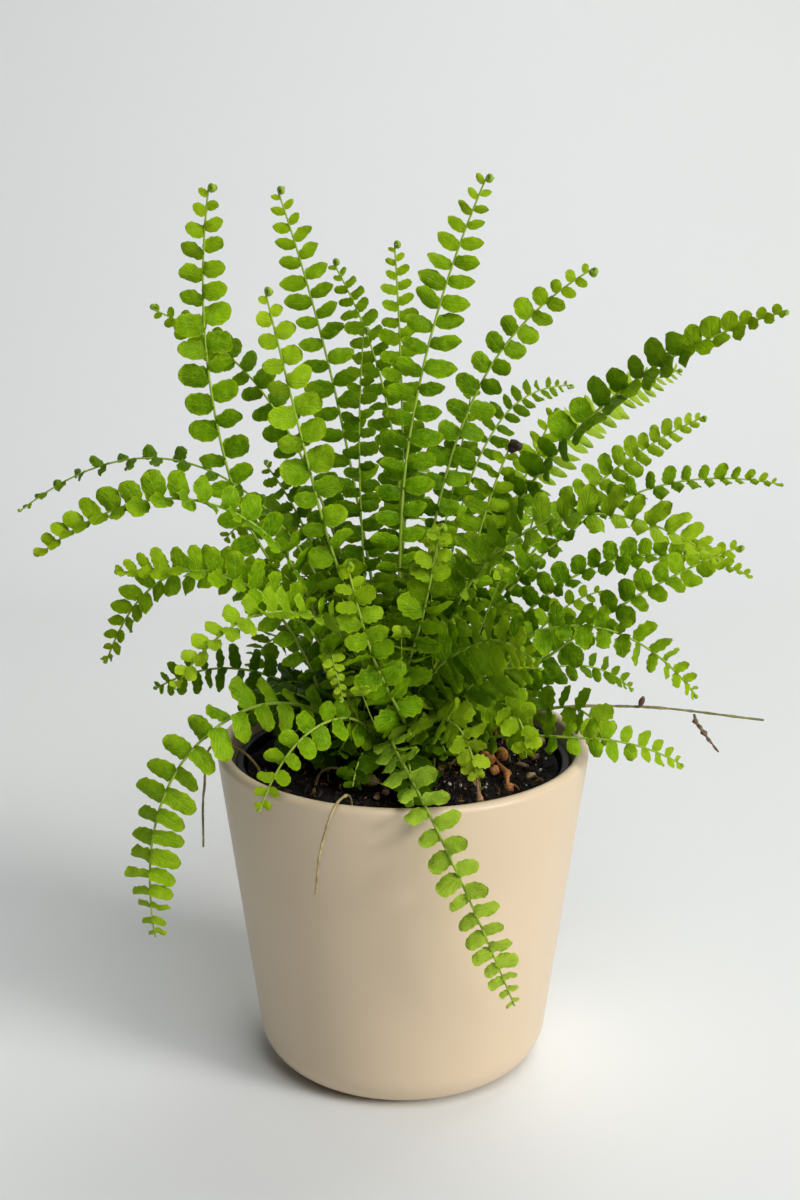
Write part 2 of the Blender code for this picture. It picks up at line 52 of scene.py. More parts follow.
camera = bpy.data.objects.new("view", bpy.data.cameras.new("view"))
bpy.context.scene.collection.objects.link(camera)
camera.data.lens = 60.0
camera.data.sensor_width = 36.0
camera.location = (-0.001, -0.659, 0.362)
camera.rotation_euler = (math.radians(73.7), 0.0, 0.0)
bpy.context.scene.camera = camera

# The studio
# A pale floor that curves up into a wall behind. A large soft light comes from the front right, with
# weak ones from behind and above, one on the wall, and a little pale light all round.


def linear(code):
    """An sRGB hex colour as the linear colour that shaders take."""
    parts = [int(code[i : i + 2], 16) / 255 for i in (1, 3, 5)]
    return (*(c / 12.92 if c <= 0.04045 else ((c + 0.055) / 1.055) ** 2.4 for c in parts), 1.0)


def feed(node, sockets):
    """Gives a node's sockets, in order or by name or number, each a value or an output to link."""
    for key, value in sockets.items() if isinstance(sockets, dict) else enumerate(sockets):
        if isinstance(value, bpy.types.NodeSocket):
            node.id_data.links.new(value, node.inputs[key])
        else:
            node.inputs[key].default_value = value


def add(tree, kind, sockets=(), output=0, **settings):
    """Adds a node with its settings, values and links, and gives one of its outputs."""
    node = tree.nodes.new(kind)
    for key, value in settings.items():
        setattr(node, key, value)
    feed(node, sockets)
    return node.outputs[output] if node.outputs else node


def new_material(name):
    """A material, its node tree, its Principled shader and the object's own coordinates."""
    material = bpy.data.materials.new(name)
    material.use_nodes = True
    tree = material.node_tree
    return material, tree, tree.nodes["Principled BSDF"], add(tree, "ShaderNodeTexCoord", output="Object")


def new_piece(name, mesh, materials=()):
    """An object at the origin for a mesh that is already in its place."""
    piece = bpy.data.objects.new(name, mesh)
    bpy.context.scene.collection.objects.link(piece)
    for material in materials:
        mesh.materials.append(material)
    return piece


def arc(centre, radius, start, end, steps):
    """Points along an arc in a profile's plane, angles in degrees."""
    angles = np.radians(np.linspace(start, end, steps + 1))
    return [(centre[0] + radius * math.cos(a), centre[1] + radius * math.sin(a)) for a in angles]


# Two kinds of node, and how the second is set to mix colours
NOISE, MIX = "ShaderNodeTexNoise", "ShaderNodeMix"
COLOUR = {"output": 2, "data_type": "RGBA"}

# Painted board, matte and almost white
board, tree, shader, place = new_material("Matte painted board")
cloud = add(tree, NOISE, {"Vector": place, "Scale": 1.3, "Detail": 2.0})
tint = add(tree, MIX, {0: cloud, 6: linear("#eef1f2"), 7: linear("#e6eaec")}, **COLOUR)
feed(shader, {"Base Color": tint, "Roughness": 0.7})

FLOOR_WIDTH = 6.0
FLOOR_FRONT = -2.5
WALL_Y = 1.6
WALL_BEND = 0.9
WALL_TOP = 3.0
bend = arc((WALL_Y - WALL_BEND, WALL_BEND), WALL_BEND, -90, 0, 24)
rows = [(FLOOR_FRONT, 0.0), *bend, (WALL_Y, WALL_TOP)]
sheet = bpy.data.meshes.new("floor")
corners = [(x, y, z) for y, z in rows for x in (-FLOOR_WIDTH / 2, FLOOR_WIDTH / 2)]
sheet.from_pydata(corners, [], [(2 * i, 2 * i + 1, 2 * i + 3, 2 * i + 2) for i in range(len(rows) - 1)])
sheet.shade_smooth()
floor = new_piece("floor", sheet, [board])

world = bpy.data.worlds.new("studio")
bpy.context.scene.world = world
world.use_nodes = True
feed(world.node_tree.nodes["Background"], {"Color": linear("#f2f2ee"), "Strength": 0.025})
bpy.context.scene.view_settings.view_transform = "Standard"

# Lights: name, place, aim, power in watts, size, colour
LIGHTS = (
    ("key", (4.8, -3.0, 2.4), (0.0, 0.0, 0.15), 208.0, 1.7, "#fffaf4"),
    ("back", (0.45, 0.75, 1.25), (0.0, 0.0, 0.15), 6.0, 1.0, "#fffdf8"),
    ("top", (0.5, -0.95, 1.5), (0.0, 0.0, 0.15), 16.5, 1.0, "#ffffff"),
    ("wall", (-0.4, 0.55, 0.8), (-0.4, 1.6, 0.8), 1.5, 1.2, "#f4f8ff"),
)
for name, spot, aim, power, size, colour in LIGHTS:
    lamp = bpy.data.lights.new(name, "AREA")
    lamp.energy = power
    lamp.size = size
    lamp.color = linear(colour)[:3]
    light = bpy.data.objects.new(name, lamp)
    light.location = spot
    light.rotation_euler = (Vector(aim) - Vector(spot)).to_track_quat("-Z", "Y").to_euler()
    bpy.context.scene.collection.objects.link(light)

# The ceramic pot
# Slip-cast earthenware with a satin glaze: a straight taper, a lip rolled round by the sponge
# that wipes the green casting, and a soft bottom corner.

MM = 0.001
_, pot_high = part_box("cachepot")
POT_HEIGHT = pot_high.z / MM
POT_RIM_RADIUS = pot_high.x / MM
POT_FOOT_RADIUS = 49.6  # where the straight side would meet the table
POT_WALL = 4.5
POT_FLOOR = 5.0
POT_CORNER = 15.0
TURN_STEPS = 192


def plain(draft, name, materials=(), smooth=True):
    """The evaluated object as a plain mesh, in a new object; the draft is removed."""
    graph = bpy.context.evaluated_depsgraph_get()
    mesh = bpy.data.meshes.new_from_object(draft.evaluated_get(graph))
    bpy.data.objects.remove(draft)
    if len(mesh.materials) > 1 and mesh.materials[0] is None:
        mesh.materials.pop(index=0)
    if smooth:
        mesh.shade_smooth()
    mesh.name = name
    return new_piece(name, mesh, materials)


def line_mesh(name, points):
    """Edges along a line of points in millimetres."""
    mesh = bpy.data.meshes.new(name)
    edges = [(i, i + 1) for i in range(len(points) - 1)]
    mesh.from_pydata([tuple(MM * c for c in point) for point in points], edges, [])
    return mesh


def turned(name, profile, materials):
    """A piece turned from a profile in millimetres, whose outer side runs down."""
    draft = new_piece(name, line_mesh(name, [(radius, 0.0, z) for radius, z in profile]))
    screw = draft.modifiers.new("Turn", "SCREW")
    screw.steps = screw.render_steps = TURN_STEPS
    screw.use_merge_vertices = True
    screw.merge_threshold = 0.00001
    return plain(draft, name, materials)


def pot_inner_radius(z):
    """Radius of the ceramic pot's inner wall at height z."""
    return POT_FOOT_RADIUS + (POT_RIM_RADIUS - POT_FOOT_RADIUS) / POT_HEIGHT * z - POT_WALL


# Kinds of node that move a value to another range, and that shade a height
RANGE, BUMP = "ShaderNodeMapRange", "ShaderNodeBump"

# Satin glaze on earthenware: an even beige with a faint cloud from the glaze's thickness, a few
# specks, and a surface that is smooth with a very fine orange peel
CLOUD_MM, SPECK_MM, PEEL_MM = 45.0, 1.1, 2.5
PEEL_RISE = 0.15  # in mm
glaze, tree, shader, place = new_material("Satin beige glaze")
cloud = add(tree, NOISE, {"Vector": place, "Scale": 1 / (CLOUD_MM * MM), "Detail": 3.0})
tint = add(tree, MIX, {0: cloud, 6: linear("#dfcbae"), 7: linear("#d7c2a4")}, **COLOUR)
specks = add(tree, NOISE, {"Vector": place, "Scale": 1 / (SPECK_MM * MM), "Detail": 1.0})
specks = add(tree, RANGE, (specks, 0.70, 0.78, 0.0, 0.12))
peel = add(tree, NOISE, {"Vector": place, "Scale": 1 / (PEEL_MM * MM), "Detail": 2.0})
look = {
    "Base Color": add(tree, MIX, {0: specks, 6: tint, 7: linear("#b59d78")}, **COLOUR),
    "Normal": add(tree, BUMP, {"Height": peel, "Strength": 0.12, "Distance": PEEL_RISE * MM}),
    "Roughness": add(tree, RANGE, (cloud, 0.0, 1.0, 0.36, 0.46)),
    "Coat Weight": 0.15,
    "Coat Roughness": 0.25,
}
feed(shader, look)

slope = math.degrees(math.atan((POT_RIM_RADIUS - POT_FOOT_RADIUS) / POT_HEIGHT))
lean = math.radians(slope)
inner_corner = POT_CORNER - POT_WALL
foot = POT_FOOT_RADIUS - POT_CORNER * math.tan(math.pi / 4 - lean / 2) * math.cos(lean)
lip_middle = (POT_RIM_RADIUS - POT_WALL / 2, POT_HEIGHT - POT_WALL / 2)
profile = [(0.0, POT_FLOOR)]
profile += arc((foot, POT_FLOOR + inner_corner), inner_corner, -90, -slope, 16)
profile += arc(lip_middle, POT_WALL / 2, 180 - slope, -slope, 20)
profile += arc((foot, POT_CORNER), POT_CORNER, -slope, -90, 24)
profile += [(0.0, 0.0)]
pot = turned("ceramic_pot", profile, [glaze])
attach(pot, "root")
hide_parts("cachepot")

# The nursery pot
# Thin black polypropylene, injection moulded, with a stiff band at the rim. It stands in the
# ceramic pot, and only its rim shows.

nursery_low, nursery_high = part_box("nursery_pot")
NURSERY_TOP = nursery_high.z / MM
NURSERY_FOOT = nursery_low.z / MM
NURSERY_INSET = 2.8  # from the ceramic pot's inner wall to the side
NURSERY_WALL = 1.2
NURSERY_RIM_DEPTH = 7.0
NURSERY_RIM_STEP = 1.6
NURSERY_CORNER = 7.5
DRAIN_HOLES = 5
DRAIN_RING = 27.0
DRAIN_RADIUS = 4.0
DRAIN_SIDES = 32


def nursery_radius(z):
    """Outer radius of the nursery pot's side at height z."""
    return pot_inner_radius(z) - NURSERY_INSET


def circle(radius, count):
    """Points round a circle."""
    turns = [2 * math.pi * number / count for number in range(count)]
    return [(radius * math.cos(turn), radius * math.sin(turn)) for turn in turns]


def mesh_from(shape, name, smooth=True):
    """The bmesh as a mesh; the bmesh is freed."""
    mesh = bpy.data.meshes.new(name)
    shape.to_mesh(mesh)
    shape.free()
    if smooth:
        mesh.shade_smooth()
    return mesh


# Moulded polypropylene: near black, a low sheen, with the faint matte of a bead-blasted mould
DUST_MM, BLAST_MM = 9.0, 0.8
BLAST_RISE = 0.1  # in mm
plastic, tree, shader, place = new_material("Moulded black polypropylene")
dust = add(tree, NOISE, {"Vector": place, "Scale": 1 / (DUST_MM * MM), "Detail": 4.0})
dusty = add(tree, RANGE, (dust, 0.5, 0.75, 0.0, 0.4))
blasted = add(tree, NOISE, {"Vector": place, "Scale": 1 / (BLAST_MM * MM), "Detail": 3.0})
look = {
    "Base Color": add(tree, MIX, {0: dusty, 6: linear("#0b0c0c"), 7: linear("#1d1c19")}, **COLOUR),
    "Normal": add(tree, BUMP, {"Height": blasted, "Strength": 0.2, "Distance": BLAST_RISE * MM}),
    "Roughness": add(tree, RANGE, (dust, 0.0, 1.0, 0.32, 0.6)),
    "Specular IOR Level": 0.2,
}
feed(shader, look)

band = NURSERY_TOP - NURSERY_RIM_DEPTH
side_foot = NURSERY_FOOT + NURSERY_CORNER
base_radius = nursery_radius(NURSERY_FOOT) - NURSERY_CORNER
roll = NURSERY_WALL / 2
profile = [(0.0, NURSERY_FOOT + NURSERY_WALL), (base_radius - roll, NURSERY_FOOT + NURSERY_WALL)]
profile += [(nursery_radius(side_foot) - NURSERY_WALL, side_foot)]
profile += arc((nursery_radius(NURSERY_TOP) - roll, NURSERY_TOP - roll), roll, 180, 90, 4)
profile += arc((nursery_radius(NURSERY_TOP) + NURSERY_RIM_STEP - roll, NURSERY_TOP - roll), roll, 90, 0, 4)
profile += [(nursery_radius(band) + NURSERY_RIM_STEP, band), (nursery_radius(band), band)]
profile += [(nursery_radius(side_foot), side_foot), (base_radius, NURSERY_FOOT), (0.0, NURSERY_FOOT)]
shell = turned("nursery_pot_shell", profile, [plastic])
drills = bmesh.new()
for x, y in circle(DRAIN_RING, DRAIN_HOLES):
    sizes = {"radius1": MM * DRAIN_RADIUS, "radius2": MM * DRAIN_RADIUS, "depth": MM * 4 * NURSERY_WALL}
    place = Matrix.Translation((MM * x, MM * y, MM * NURSERY_FOOT))
    bmesh.ops.create_cone(drills, cap_ends=True, segments=DRAIN_SIDES, matrix=place, **sizes)
drill = new_piece("drills", mesh_from(drills, "drills", smooth=False))
cut = shell.modifiers.new("Drain holes", "BOOLEAN")
cut.object = drill
cut.solver = "EXACT"
nursery = plain(shell, "nursery_pot_shell")
bpy.data.objects.remove(drill)
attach(nursery, "root")
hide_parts("nursery_pot")

# The soil
# Moist peat with crumbs of all sizes, some bark chips, a few white perlite beads and pebbles.
# It lies loose, a little higher at the crown and against the wall.

SOIL_EDGE = 105.0
SOIL_CROWN_RISE = 3.5
SOIL_LUMP = 0.8
SOIL_LOOSE = 1.0  # how far the loose top stands above the solid
SOIL_HEAP, SOIL_HEAP_FROM, SOIL_HEAP_TO = 2.6, 40.0, 54.0
SOIL_FINE_MM = (9.0, 3.2, 1.4)
SOIL_FINE_RISE = (1.3, 0.9, 0.5)
SOIL_SEGMENTS = 200
SOIL_CIRCLES = 72


def soil_height(x, y):
    """Height of the soil's surface, as the solid has it."""
    radius = math.hypot(x, y)
    mound = SOIL_CROWN_RISE * (1.0 - (radius / pot_inner_radius(SOIL_EDGE)) ** 2)
    lumps = math.sin(0.23 * x + 0.9) * math.cos(0.19 * y - 0.4) + 0.6 * math.sin(0.41 * y + 0.17 * x)
    return SOIL_EDGE + mound + SOIL_LUMP * lumps


def soil_surface(x, y):
    """The same, heaped a little at the wall, with crumbs: noise in three sizes."""
    heaped = min(max((math.hypot(x, y) - SOIL_HEAP_FROM) / (SOIL_HEAP_TO - SOIL_HEAP_FROM), 0.0), 1.0)
    z = soil_height(x, y) + SOIL_LOOSE + SOIL_HEAP * heaped**2
    for size, rise in zip(SOIL_FINE_MM, SOIL_FINE_RISE):
        z += rise * noise.noise(Vector((x / size, y / size, size)))
    return z


def skin(shape, rings):
    """Faces between closed rings of corners. A ring of one corner closes an end to a point."""
    for last, ring in zip(rings, rings[1:]):
        for a in range(max(len(last), len(ring))):
            b = a + 1
            face = (last[a % len(last)], ring[a % len(ring)], ring[b % len(ring)], last[b % len(last)])
            shape.faces.new(list(dict.fromkeys(face)))


# Peat: near black where moist, brown where dry, rough and broken. Its near black is partly painted shade from
# the crown above.
PEAT_MM, GRIT_MM = 3.0, 1.2
GRIT_RISE = 0.6  # in mm
peat, tree, shader, place = new_material("Moist peat")
dry = add(tree, NOISE, {"Vector": place, "Scale": 1 / (PEAT_MM * MM), "Detail": 6.0})
dry = add(tree, RANGE, (dry, 0.42, 0.72))
grit = add(tree, "ShaderNodeTexVoronoi", {"Vector": place, "Scale": 1 / (GRIT_MM * MM)})
look = {
    "Base Color": add(tree, MIX, {0: dry, 6: linear("#050403"), 7: linear("#20160e")}, **COLOUR),
    "Normal": add(tree, BUMP, {"Height": grit, "Strength": 0.8, "Distance": GRIT_RISE * MM}),
    "Roughness": 0.85,
    "Specular IOR Level": 0.25,
}
feed(shader, look)

soil_low, soil_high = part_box("soil")
soil_radius = soil_high.x / MM
shape = bmesh.new()
top, bottom = (shape.verts.new((0.0, 0.0, z)) for z in (MM * soil_surface(0.0, 0.0), soil_low.z))
rings = [[top]]
for number in range(1, SOIL_CIRCLES + 1):
    spots = circle(soil_radius * number / SOIL_CIRCLES, SOIL_SEGMENTS)
    rings.append([shape.verts.new((MM * x, MM * y, MM * soil_surface(x, y))) for x, y in spots])
spots = circle(MM * (base_radius - NURSERY_WALL), SOIL_SEGMENTS)
rings += [[shape.verts.new((x, y, soil_low.z)) for x, y in spots], [bottom]]
skin(shape, rings)
soil = new_piece("potting_soil", mesh_from(shape, "potting_soil"), [peat])
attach(soil, "root")
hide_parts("soil")

# What lies on the soil
# Crumbs of peat in all sizes, bark chips and perlite from the potting mix, strewn at random, and
# a few larger bits where they lie: an olive pebble, stones and shreds of bark.

STREWN_RADIUS = 52.0
FACING_UP = 0.3  # least upward part of a face that bits lie on
BIT_RISE = 0.3  # relief of a bit's surface in mm


def bit_mesh(name, stretch, rough, seed, level=1):
    """A rough lump about 1 across, stretched along its own axes."""
    lump = bmesh.new()
    bmesh.ops.create_icosphere(lump, subdivisions=level, radius=0.5)
    for vertex in lump.verts:
        push = 1.0 + rough * noise.noise(vertex.co * 2.3 + Vector((seed, 2.0 * seed, 0.0)))
        vertex.co = Vector(c * push * part for c, part in zip(vertex.co, stretch))
    return mesh_from(lump, name, smooth=False)


def large_bit(name, place, size, rough, seed, finish, turn=0.0):
    """A smooth lump at its place in millimetres, turned by these degrees."""
    mesh = bit_mesh(name, size, rough, seed, level=3)
    turning = Matrix.Rotation(math.radians(turn), 4, "Z")
    mesh.transform(Matrix.Scale(MM, 4) @ Matrix.Translation(place) @ turning)
    mesh.shade_smooth()
    return new_piece(name, mesh, [finish])


def bit_material(name, dark, light, grain_mm, roughness):
    """A rough mineral or woody surface in two tones."""
    material, tree, shader, place = new_material(name.replace("_", " ").capitalize())
    grain = add(tree, NOISE, {"Vector": place, "Scale": 1 / (grain_mm * MM), "Detail": 4.0})
    share = add(tree, RANGE, (grain, 0.35, 0.65))
    look = {
        "Base Color": add(tree, MIX, {0: share, 6: linear(dark), 7: linear(light)}, **COLOUR),
        "Normal": add(tree, BUMP, {"Height": grain, "Strength": 0.6, "Distance": BIT_RISE * MM}),
        "Roughness": roughness,
    }
    feed(shader, look)
    return material


def new_tree(name, **inputs):
    """A Geometry Nodes tree, and its inputs, whose names are given for each kind."""
    tree = bpy.data.node_groups.new(name, "GeometryNodeTree")
    for kind, labels in inputs.items():
        for label in labels.split(", "):
            tree.interface.new_socket(label, in_out="INPUT", socket_type=f"NodeSocket{kind}")
    tree.interface.new_socket(name, in_out="OUTPUT", socket_type="NodeSocketGeometry")
    sockets = tree.nodes.new("NodeGroupInput").outputs
    return tree, {socket.name: socket for socket in sockets if socket.name}


def with_tree(draft, tree, values):
    """The draft with a Geometry Nodes modifier whose inputs have these values."""
    modifier = draft.modifiers.new(tree.name, "NODES")
    modifier.node_group = tree
    for item in tree.interface.items_tree:
        if item.in_out == "INPUT" and item.name in values:
            modifier[item.identifier] = values[item.name]
    return draft


def picked(points, collection, sockets):
    """One of the collection's objects at each point."""
    kinds = {"Collection": collection, "Separate Children": True, "Reset Children": True}
    kinds = add(points.id_data, "GeometryNodeCollectionInfo", kinds)
    sockets = {"Points": points, "Instance": kinds, "Pick Instance": True, **sockets}
    return add(points.id_data, "GeometryNodeInstanceOnPoints", sockets)


def surfaced(geometry, material):
    """The geometry, with instances made real, in this material."""
    real = add(geometry.id_data, "GeometryNodeRealizeInstances", (geometry,))
    return add(real.id_data, "GeometryNodeSetMaterial", {"Geometry": real, "Material": material})


MATH, RANDOM = "ShaderNodeMath", "FunctionNodeRandomValue"
FULL_TURN = 3 * (2 * math.pi,)

# Geometry Nodes that strew bits over the ground, turned and sized at random, most of them small
strewing, given = new_tree(
    "Strewn bits",
    Geometry="Ground",
    Float="Density, Smallest, Largest",
    Int="Seed",
    Collection="Bits",
    Material="Surface",
)
seed = {"Seed": given["Seed"]}
spread = {"Mesh": given["Ground"], "Density": given["Density"], **seed}
points = add(strewing, "GeometryNodeDistributePointsOnFaces", spread)
turn = add(strewing, RANDOM, {0: (0.0, 0.0, 0.0), 1: FULL_TURN, **seed}, data_type="FLOAT_VECTOR")
share = add(strewing, RANDOM, {2: 0.0, 3: 1.0, **seed}, output=1)
share = add(strewing, MATH, (share, 3.0), operation="POWER")
size = add(strewing, RANGE, (share, 0.0, 1.0, given["Smallest"], given["Largest"]))
strewn = picked(points, given["Bits"], {"Rotation": turn, "Scale": size})
add(strewing, "NodeGroupOutput", (surfaced(strewn, given["Surface"]),))

ground = soil.data.copy()
shape = bmesh.new()
shape.from_mesh(ground)
shape.normal_update()
spared = []
for face in shape.faces:
    if face.normal.z < FACING_UP or face.calc_center_median().xy.length > MM * STREWN_RADIUS:
        spared.append(face)
bmesh.ops.delete(shape, geom=spared, context="FACES")
shape.to_mesh(ground)
shape.free()
ground.materials.clear()

# Bits: name, stretch of each kind, roughness of shape, number a square metre, sizes in mm, surface
CRUMBS = ((1.0, 0.8, 0.7), (1.2, 0.7, 0.6), (0.9, 0.9, 0.6))
CHIPS = ((2.2, 0.9, 0.35), (1.6, 0.6, 0.45), (2.8, 0.5, 0.3))
GRAINS = ((1.0, 0.8, 0.8), (0.9, 1.1, 0.7), (1.0, 1.0, 0.6))
STREWN = (
    # The peat crumbs' near black is partly painted shade from the crown above
    ("peat_crumbs", CRUMBS, 0.9, 260000, 0.7, 3.0, ("Peat crumb", "#080605", "#35271b", 2.0, 0.9)),
    ("bark_chips", CHIPS, 0.6, 20000, 1.0, 2.6, ("Composted bark", "#4a301c", "#a07a4c", 1.2, 0.8)),
    ("perlite_grains", GRAINS, 0.7, 10000, 0.7, 1.8, ("Perlite", "#a8a294", "#dedbd0", 0.8, 0.7)),
)
for number, (name, stretches, rough, density, smallest, largest, surface) in enumerate(STREWN):
    kinds = bpy.data.collections.new(f"{name}_kinds")
    for kind, stretch in enumerate(stretches):
        label = f"{name}_{kind}"
        kinds.objects.link(bpy.data.objects.new(label, bit_mesh(label, stretch, rough, 7.0 * kind + number)))
    values = {
        "Density": float(density),
        "Smallest": MM * smallest,
        "Largest": MM * largest,
        "Seed": number,
        "Bits": kinds,
        "Surface": bit_material(*surface),
    }
    piece = plain(with_tree(new_piece(name, ground.copy()), strewing, values), name, smooth=False)
    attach(piece, "root")

# Larger bits: name, place on the soil, size in mm, turn in degrees, dark and light tone
LARGER = (
    ("olive_pebble", (-11.6, -20.8), (6.9, 4.8, 4.6), 10, "#9a8e48", "#c5b76a"),
    ("rose_stone", (-5.8, -26.3), (3.3, 2.6, 2.6), 40, "#8c6c54", "#b99a7c"),
    ("bark_flake", (-8.8, -29.5), (4.4, 1.8, 1.8), 70, "#7a5a40", "#ab8c6a"),
    ("pale_stone", (14.6, 8.4), (3.2, 2.6, 2.6), 0, "#9aa28e", "#c6ccb4"),
    ("grey_stone", (11.8, -10.0), (2.8, 2.4, 2.0), 60, "#6c6a58", "#98937a"),
    ("bark_shred", (42.0, 1.5), (5.4, 2.0, 2.0), -35, "#6a4e34", "#9d8262"),
    ("tan_shard", (44.2, -13.0), (3.6, 2.8, 2.4), 30, "#9a8058", "#c8b084"),
    ("tan_stone", (49.5, 19.0), (4.4, 3.2, 3.2), 20, "#9f8258", "#c8b084"),
    ("bark_crumb", (47.0, 8.0), (4.6, 3.0, 2.4), 50, "#5a3e28", "#8a6a4c"),
)
SEATED = 0.35  # height of a bit's middle above the soil, as a share of its thickness
STONE_LUMPY = 0.35
STONE_GRAIN_MM, STONE_ROUGHNESS = 1.5, 0.6
for number, (name, (x, y), size, turn, dark, light) in enumerate(LARGER):
    place = (x, y, soil_surface(x, y) + SEATED * size[2])
    finish = bit_material(name, dark, light, STONE_GRAIN_MM, STONE_ROUGHNESS)
    piece = large_bit(name, place, size, STONE_LUMPY, 3.0 * number, finish, turn)
    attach(piece, "root")

# The fern's ribs
# Each frond grows on one rib that leaves the soil upright, arches through its belly point and ends
# in a tight curl. The lines repeat those of the solids, with the bend that laid each frond clear.

CROWN = (-1.0, 6.0)
FIRST_RISE = 0.9
BELLY_RINGS, BELLY_RING_STEP = 6, 4.0
TIP_SHARES = (0.0, 0.7)
CURVE_SAMPLES = 80
MATCH_EVERY = 5
STEM_IN_SOIL = 4.0
CURL_FIRST_RADIUS = 1.1
CURL_LAST_RADIUS = 0.5
CURL_STEPS = 18
CURL_ROOM = 1.6  # stretch of the line that a curl takes the place of, in its first radii
CURL_ASIDE = math.radians(50)  # from the blade's upper face towards its side

# The way a blade looks, how far its leaflets are raised from it like the sides of a gutter, and how
# far they lean towards its tip
FRONT = (0.0, -1.0, 0.3)
TILTED = (0.0, -0.65, 0.7)
OPEN = (0.0, -0.8, 0.55)
LEVEL = (0.0, -0.25, 1.0)
LEFTWARD = (-0.4, -0.9, 0.3)
BACKWARD = (0.0, 0.8, 0.6)
RAISED = {FRONT: 0.2, TILTED: 1.0, OPEN: 0.45, LEVEL: 0.2, LEFTWARD: 0.0, BACKWARD: 0.1}
LEANING = {FRONT: 0.16, TILTED: 0.34, OPEN: 0.25, LEVEL: 0.16, LEFTWARD: 0.16, BACKWARD: 0.16}


def unit(vector):
    """A vector of length one, or several in rows."""
    vector = np.asarray(vector, dtype=float)
    return vector / np.maximum(np.linalg.norm(vector, axis=-1, keepdims=True), 1e-9)


def walked(points):
    """How far along the line each of its points lies."""
    return np.concatenate([[0.0], np.cumsum(np.linalg.norm(np.diff(points, axis=0), axis=1))])


def hermite(start, end, leave, arrive, samples):
    """Points along a cubic between two points with these end directions, whose length is their pull."""
    t = np.linspace(0.0, 1.0, samples)[:, None]
    ends = (2 * t**3 - 3 * t**2 + 1) * start + (3 * t**2 - 2 * t**3) * end
    return ends + (t**3 - 2 * t**2 + t) * leave + (t**3 - t**2) * arrive


def rib_curve(root, belly, tip):
    """A smooth line that leaves the soil straight up, passes the belly point and ends at the tip."""
    root, belly, tip = (np.array(p, dtype=float) for p in (root, belly, tip))
    lower, upper = np.linalg.norm(belly - root), np.linalg.norm(tip - belly)
    through = unit((belly - root) / lower + (tip - belly) / upper)
    rise = np.array((0.0, 0.0, FIRST_RISE * lower))
    below = hermite(root, belly, rise, lower * through, CURVE_SAMPLES)
    above = hermite(belly, tip, upper * through, 2 * (tip - belly) - upper * through, CURVE_SAMPLES)
    return np.concatenate([below, above[1:]])


def offsets(rings, step):
    """Nothing first, then offsets in growing rings of eight, each ring turned against the last."""
    yield 0.0, 0.0
    for ring in range(1, rings + 1):
        for turn in range(8):
            angle = math.pi * (turn / 4 + ring / 8)
            yield ring * step * math.cos(angle), ring * step * math.sin(angle)


def laid_rib(node, tip, belly):
    """The rib's line as the solid has it: its root is read there, its bend is the one that fits best."""
    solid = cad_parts[node].data
    corners = [vertex.co / MM for vertex in solid.vertices]
    tree = BVHTree.FromPolygons(corners, [tuple(face.vertices) for face in solid.polygons])
    lowest = sorted((c for c in corners if c.xy.length < soil_radius), key=lambda corner: corner.z)[:4]
    x, y = (sum(corner[axis] for corner in lowest) / 4 for axis in (0, 1))
    root = np.array((x, y, soil_height(x, y)))
    chord = unit(np.array(tip) - root)
    across = unit(np.cross(chord, (0.0, 0.0, 1.0)))
    over = np.cross(across, chord)
    best = None
    for tip_share in TIP_SHARES:
        for offset in offsets(BELLY_RINGS, BELLY_RING_STEP):
            move = offset[0] * across + offset[1] * over
            line = rib_curve(root, np.array(belly) + move, np.array(tip) + tip_share * move)
            misses = [tree.find_nearest(Vector(p))[3] for p in line[::MATCH_EVERY]]
            miss = sum(misses) / len(misses)
            if best is None or miss < best[0]:
                best = (miss, line)
    return best[1]


def frames_along(points, looks):
    """Tangents and normals along a line: the blade looks that way midway, and isn't twisted."""
    tangents = unit(np.gradient(points, axis=0))
    middle = len(points) // 2
    normals = np.zeros_like(points)
    normals[middle] = unit(np.array(looks) - np.dot(looks, tangents[middle]) * tangents[middle])
    for order in (range(middle + 1, len(points)), range(middle - 1, -1, -1)):
        last = normals[middle]
        for i in order:
            last = unit(last - np.dot(last, tangents[i]) * tangents[i])
            normals[i] = last
    return tangents, normals


def curled(points, looks, turns):
    """The line with its last stretch replaced by a curl towards the blade's upper face."""
    tangents, normals = frames_along(points, looks)
    if turns == 0.0:
        return points, normals
    far = walked(points)
    keep = int(np.searchsorted(far, far[-1] - CURL_ROOM * CURL_FIRST_RADIUS))
    points, normals = list(points[:keep]), list(normals[:keep])
    ahead, upper, here = tangents[keep - 1], normals[-1], points[-1]
    upper = math.cos(CURL_ASIDE) * upper + math.sin(CURL_ASIDE) * np.cross(ahead, upper)
    turn = 2 * math.pi * turns / CURL_STEPS
    for step in range(CURL_STEPS):
        radius = CURL_FIRST_RADIUS + (CURL_LAST_RADIUS - CURL_FIRST_RADIUS) * step / CURL_STEPS
        bent = ahead * math.cos(turn) + upper * math.sin(turn)
        ahead, upper = bent, upper * math.cos(turn) - ahead * math.sin(turn)
        here = here + ahead * radius * turn
        points.append(here)
        normals.append(upper)
    return np.array(points), np.array(normals)


# The leaflets
# Thin, waxy and rounded, with a scalloped edge, a small ear at the base on the side of the frond's
# tip and fine forking veins. They sit on the rib almost in pairs.

LEAFLET_ROWS = 10
LEAFLET_COLUMNS = (-1.0, -0.42, 0.42, 1.0)
LEAFLET_BASE = 0.14
LEAFLET_END = 0.10
LEAFLET_KINDS = 4
LEAFLET_BODY = 0.020  # half its thickness in the middle, as a share of its length
OVER_RIB = 0.03
EAR_AT, EAR_REACH = 0.16, 0.13
EDGE_FALL = 0.14  # how far the sides hang at the end


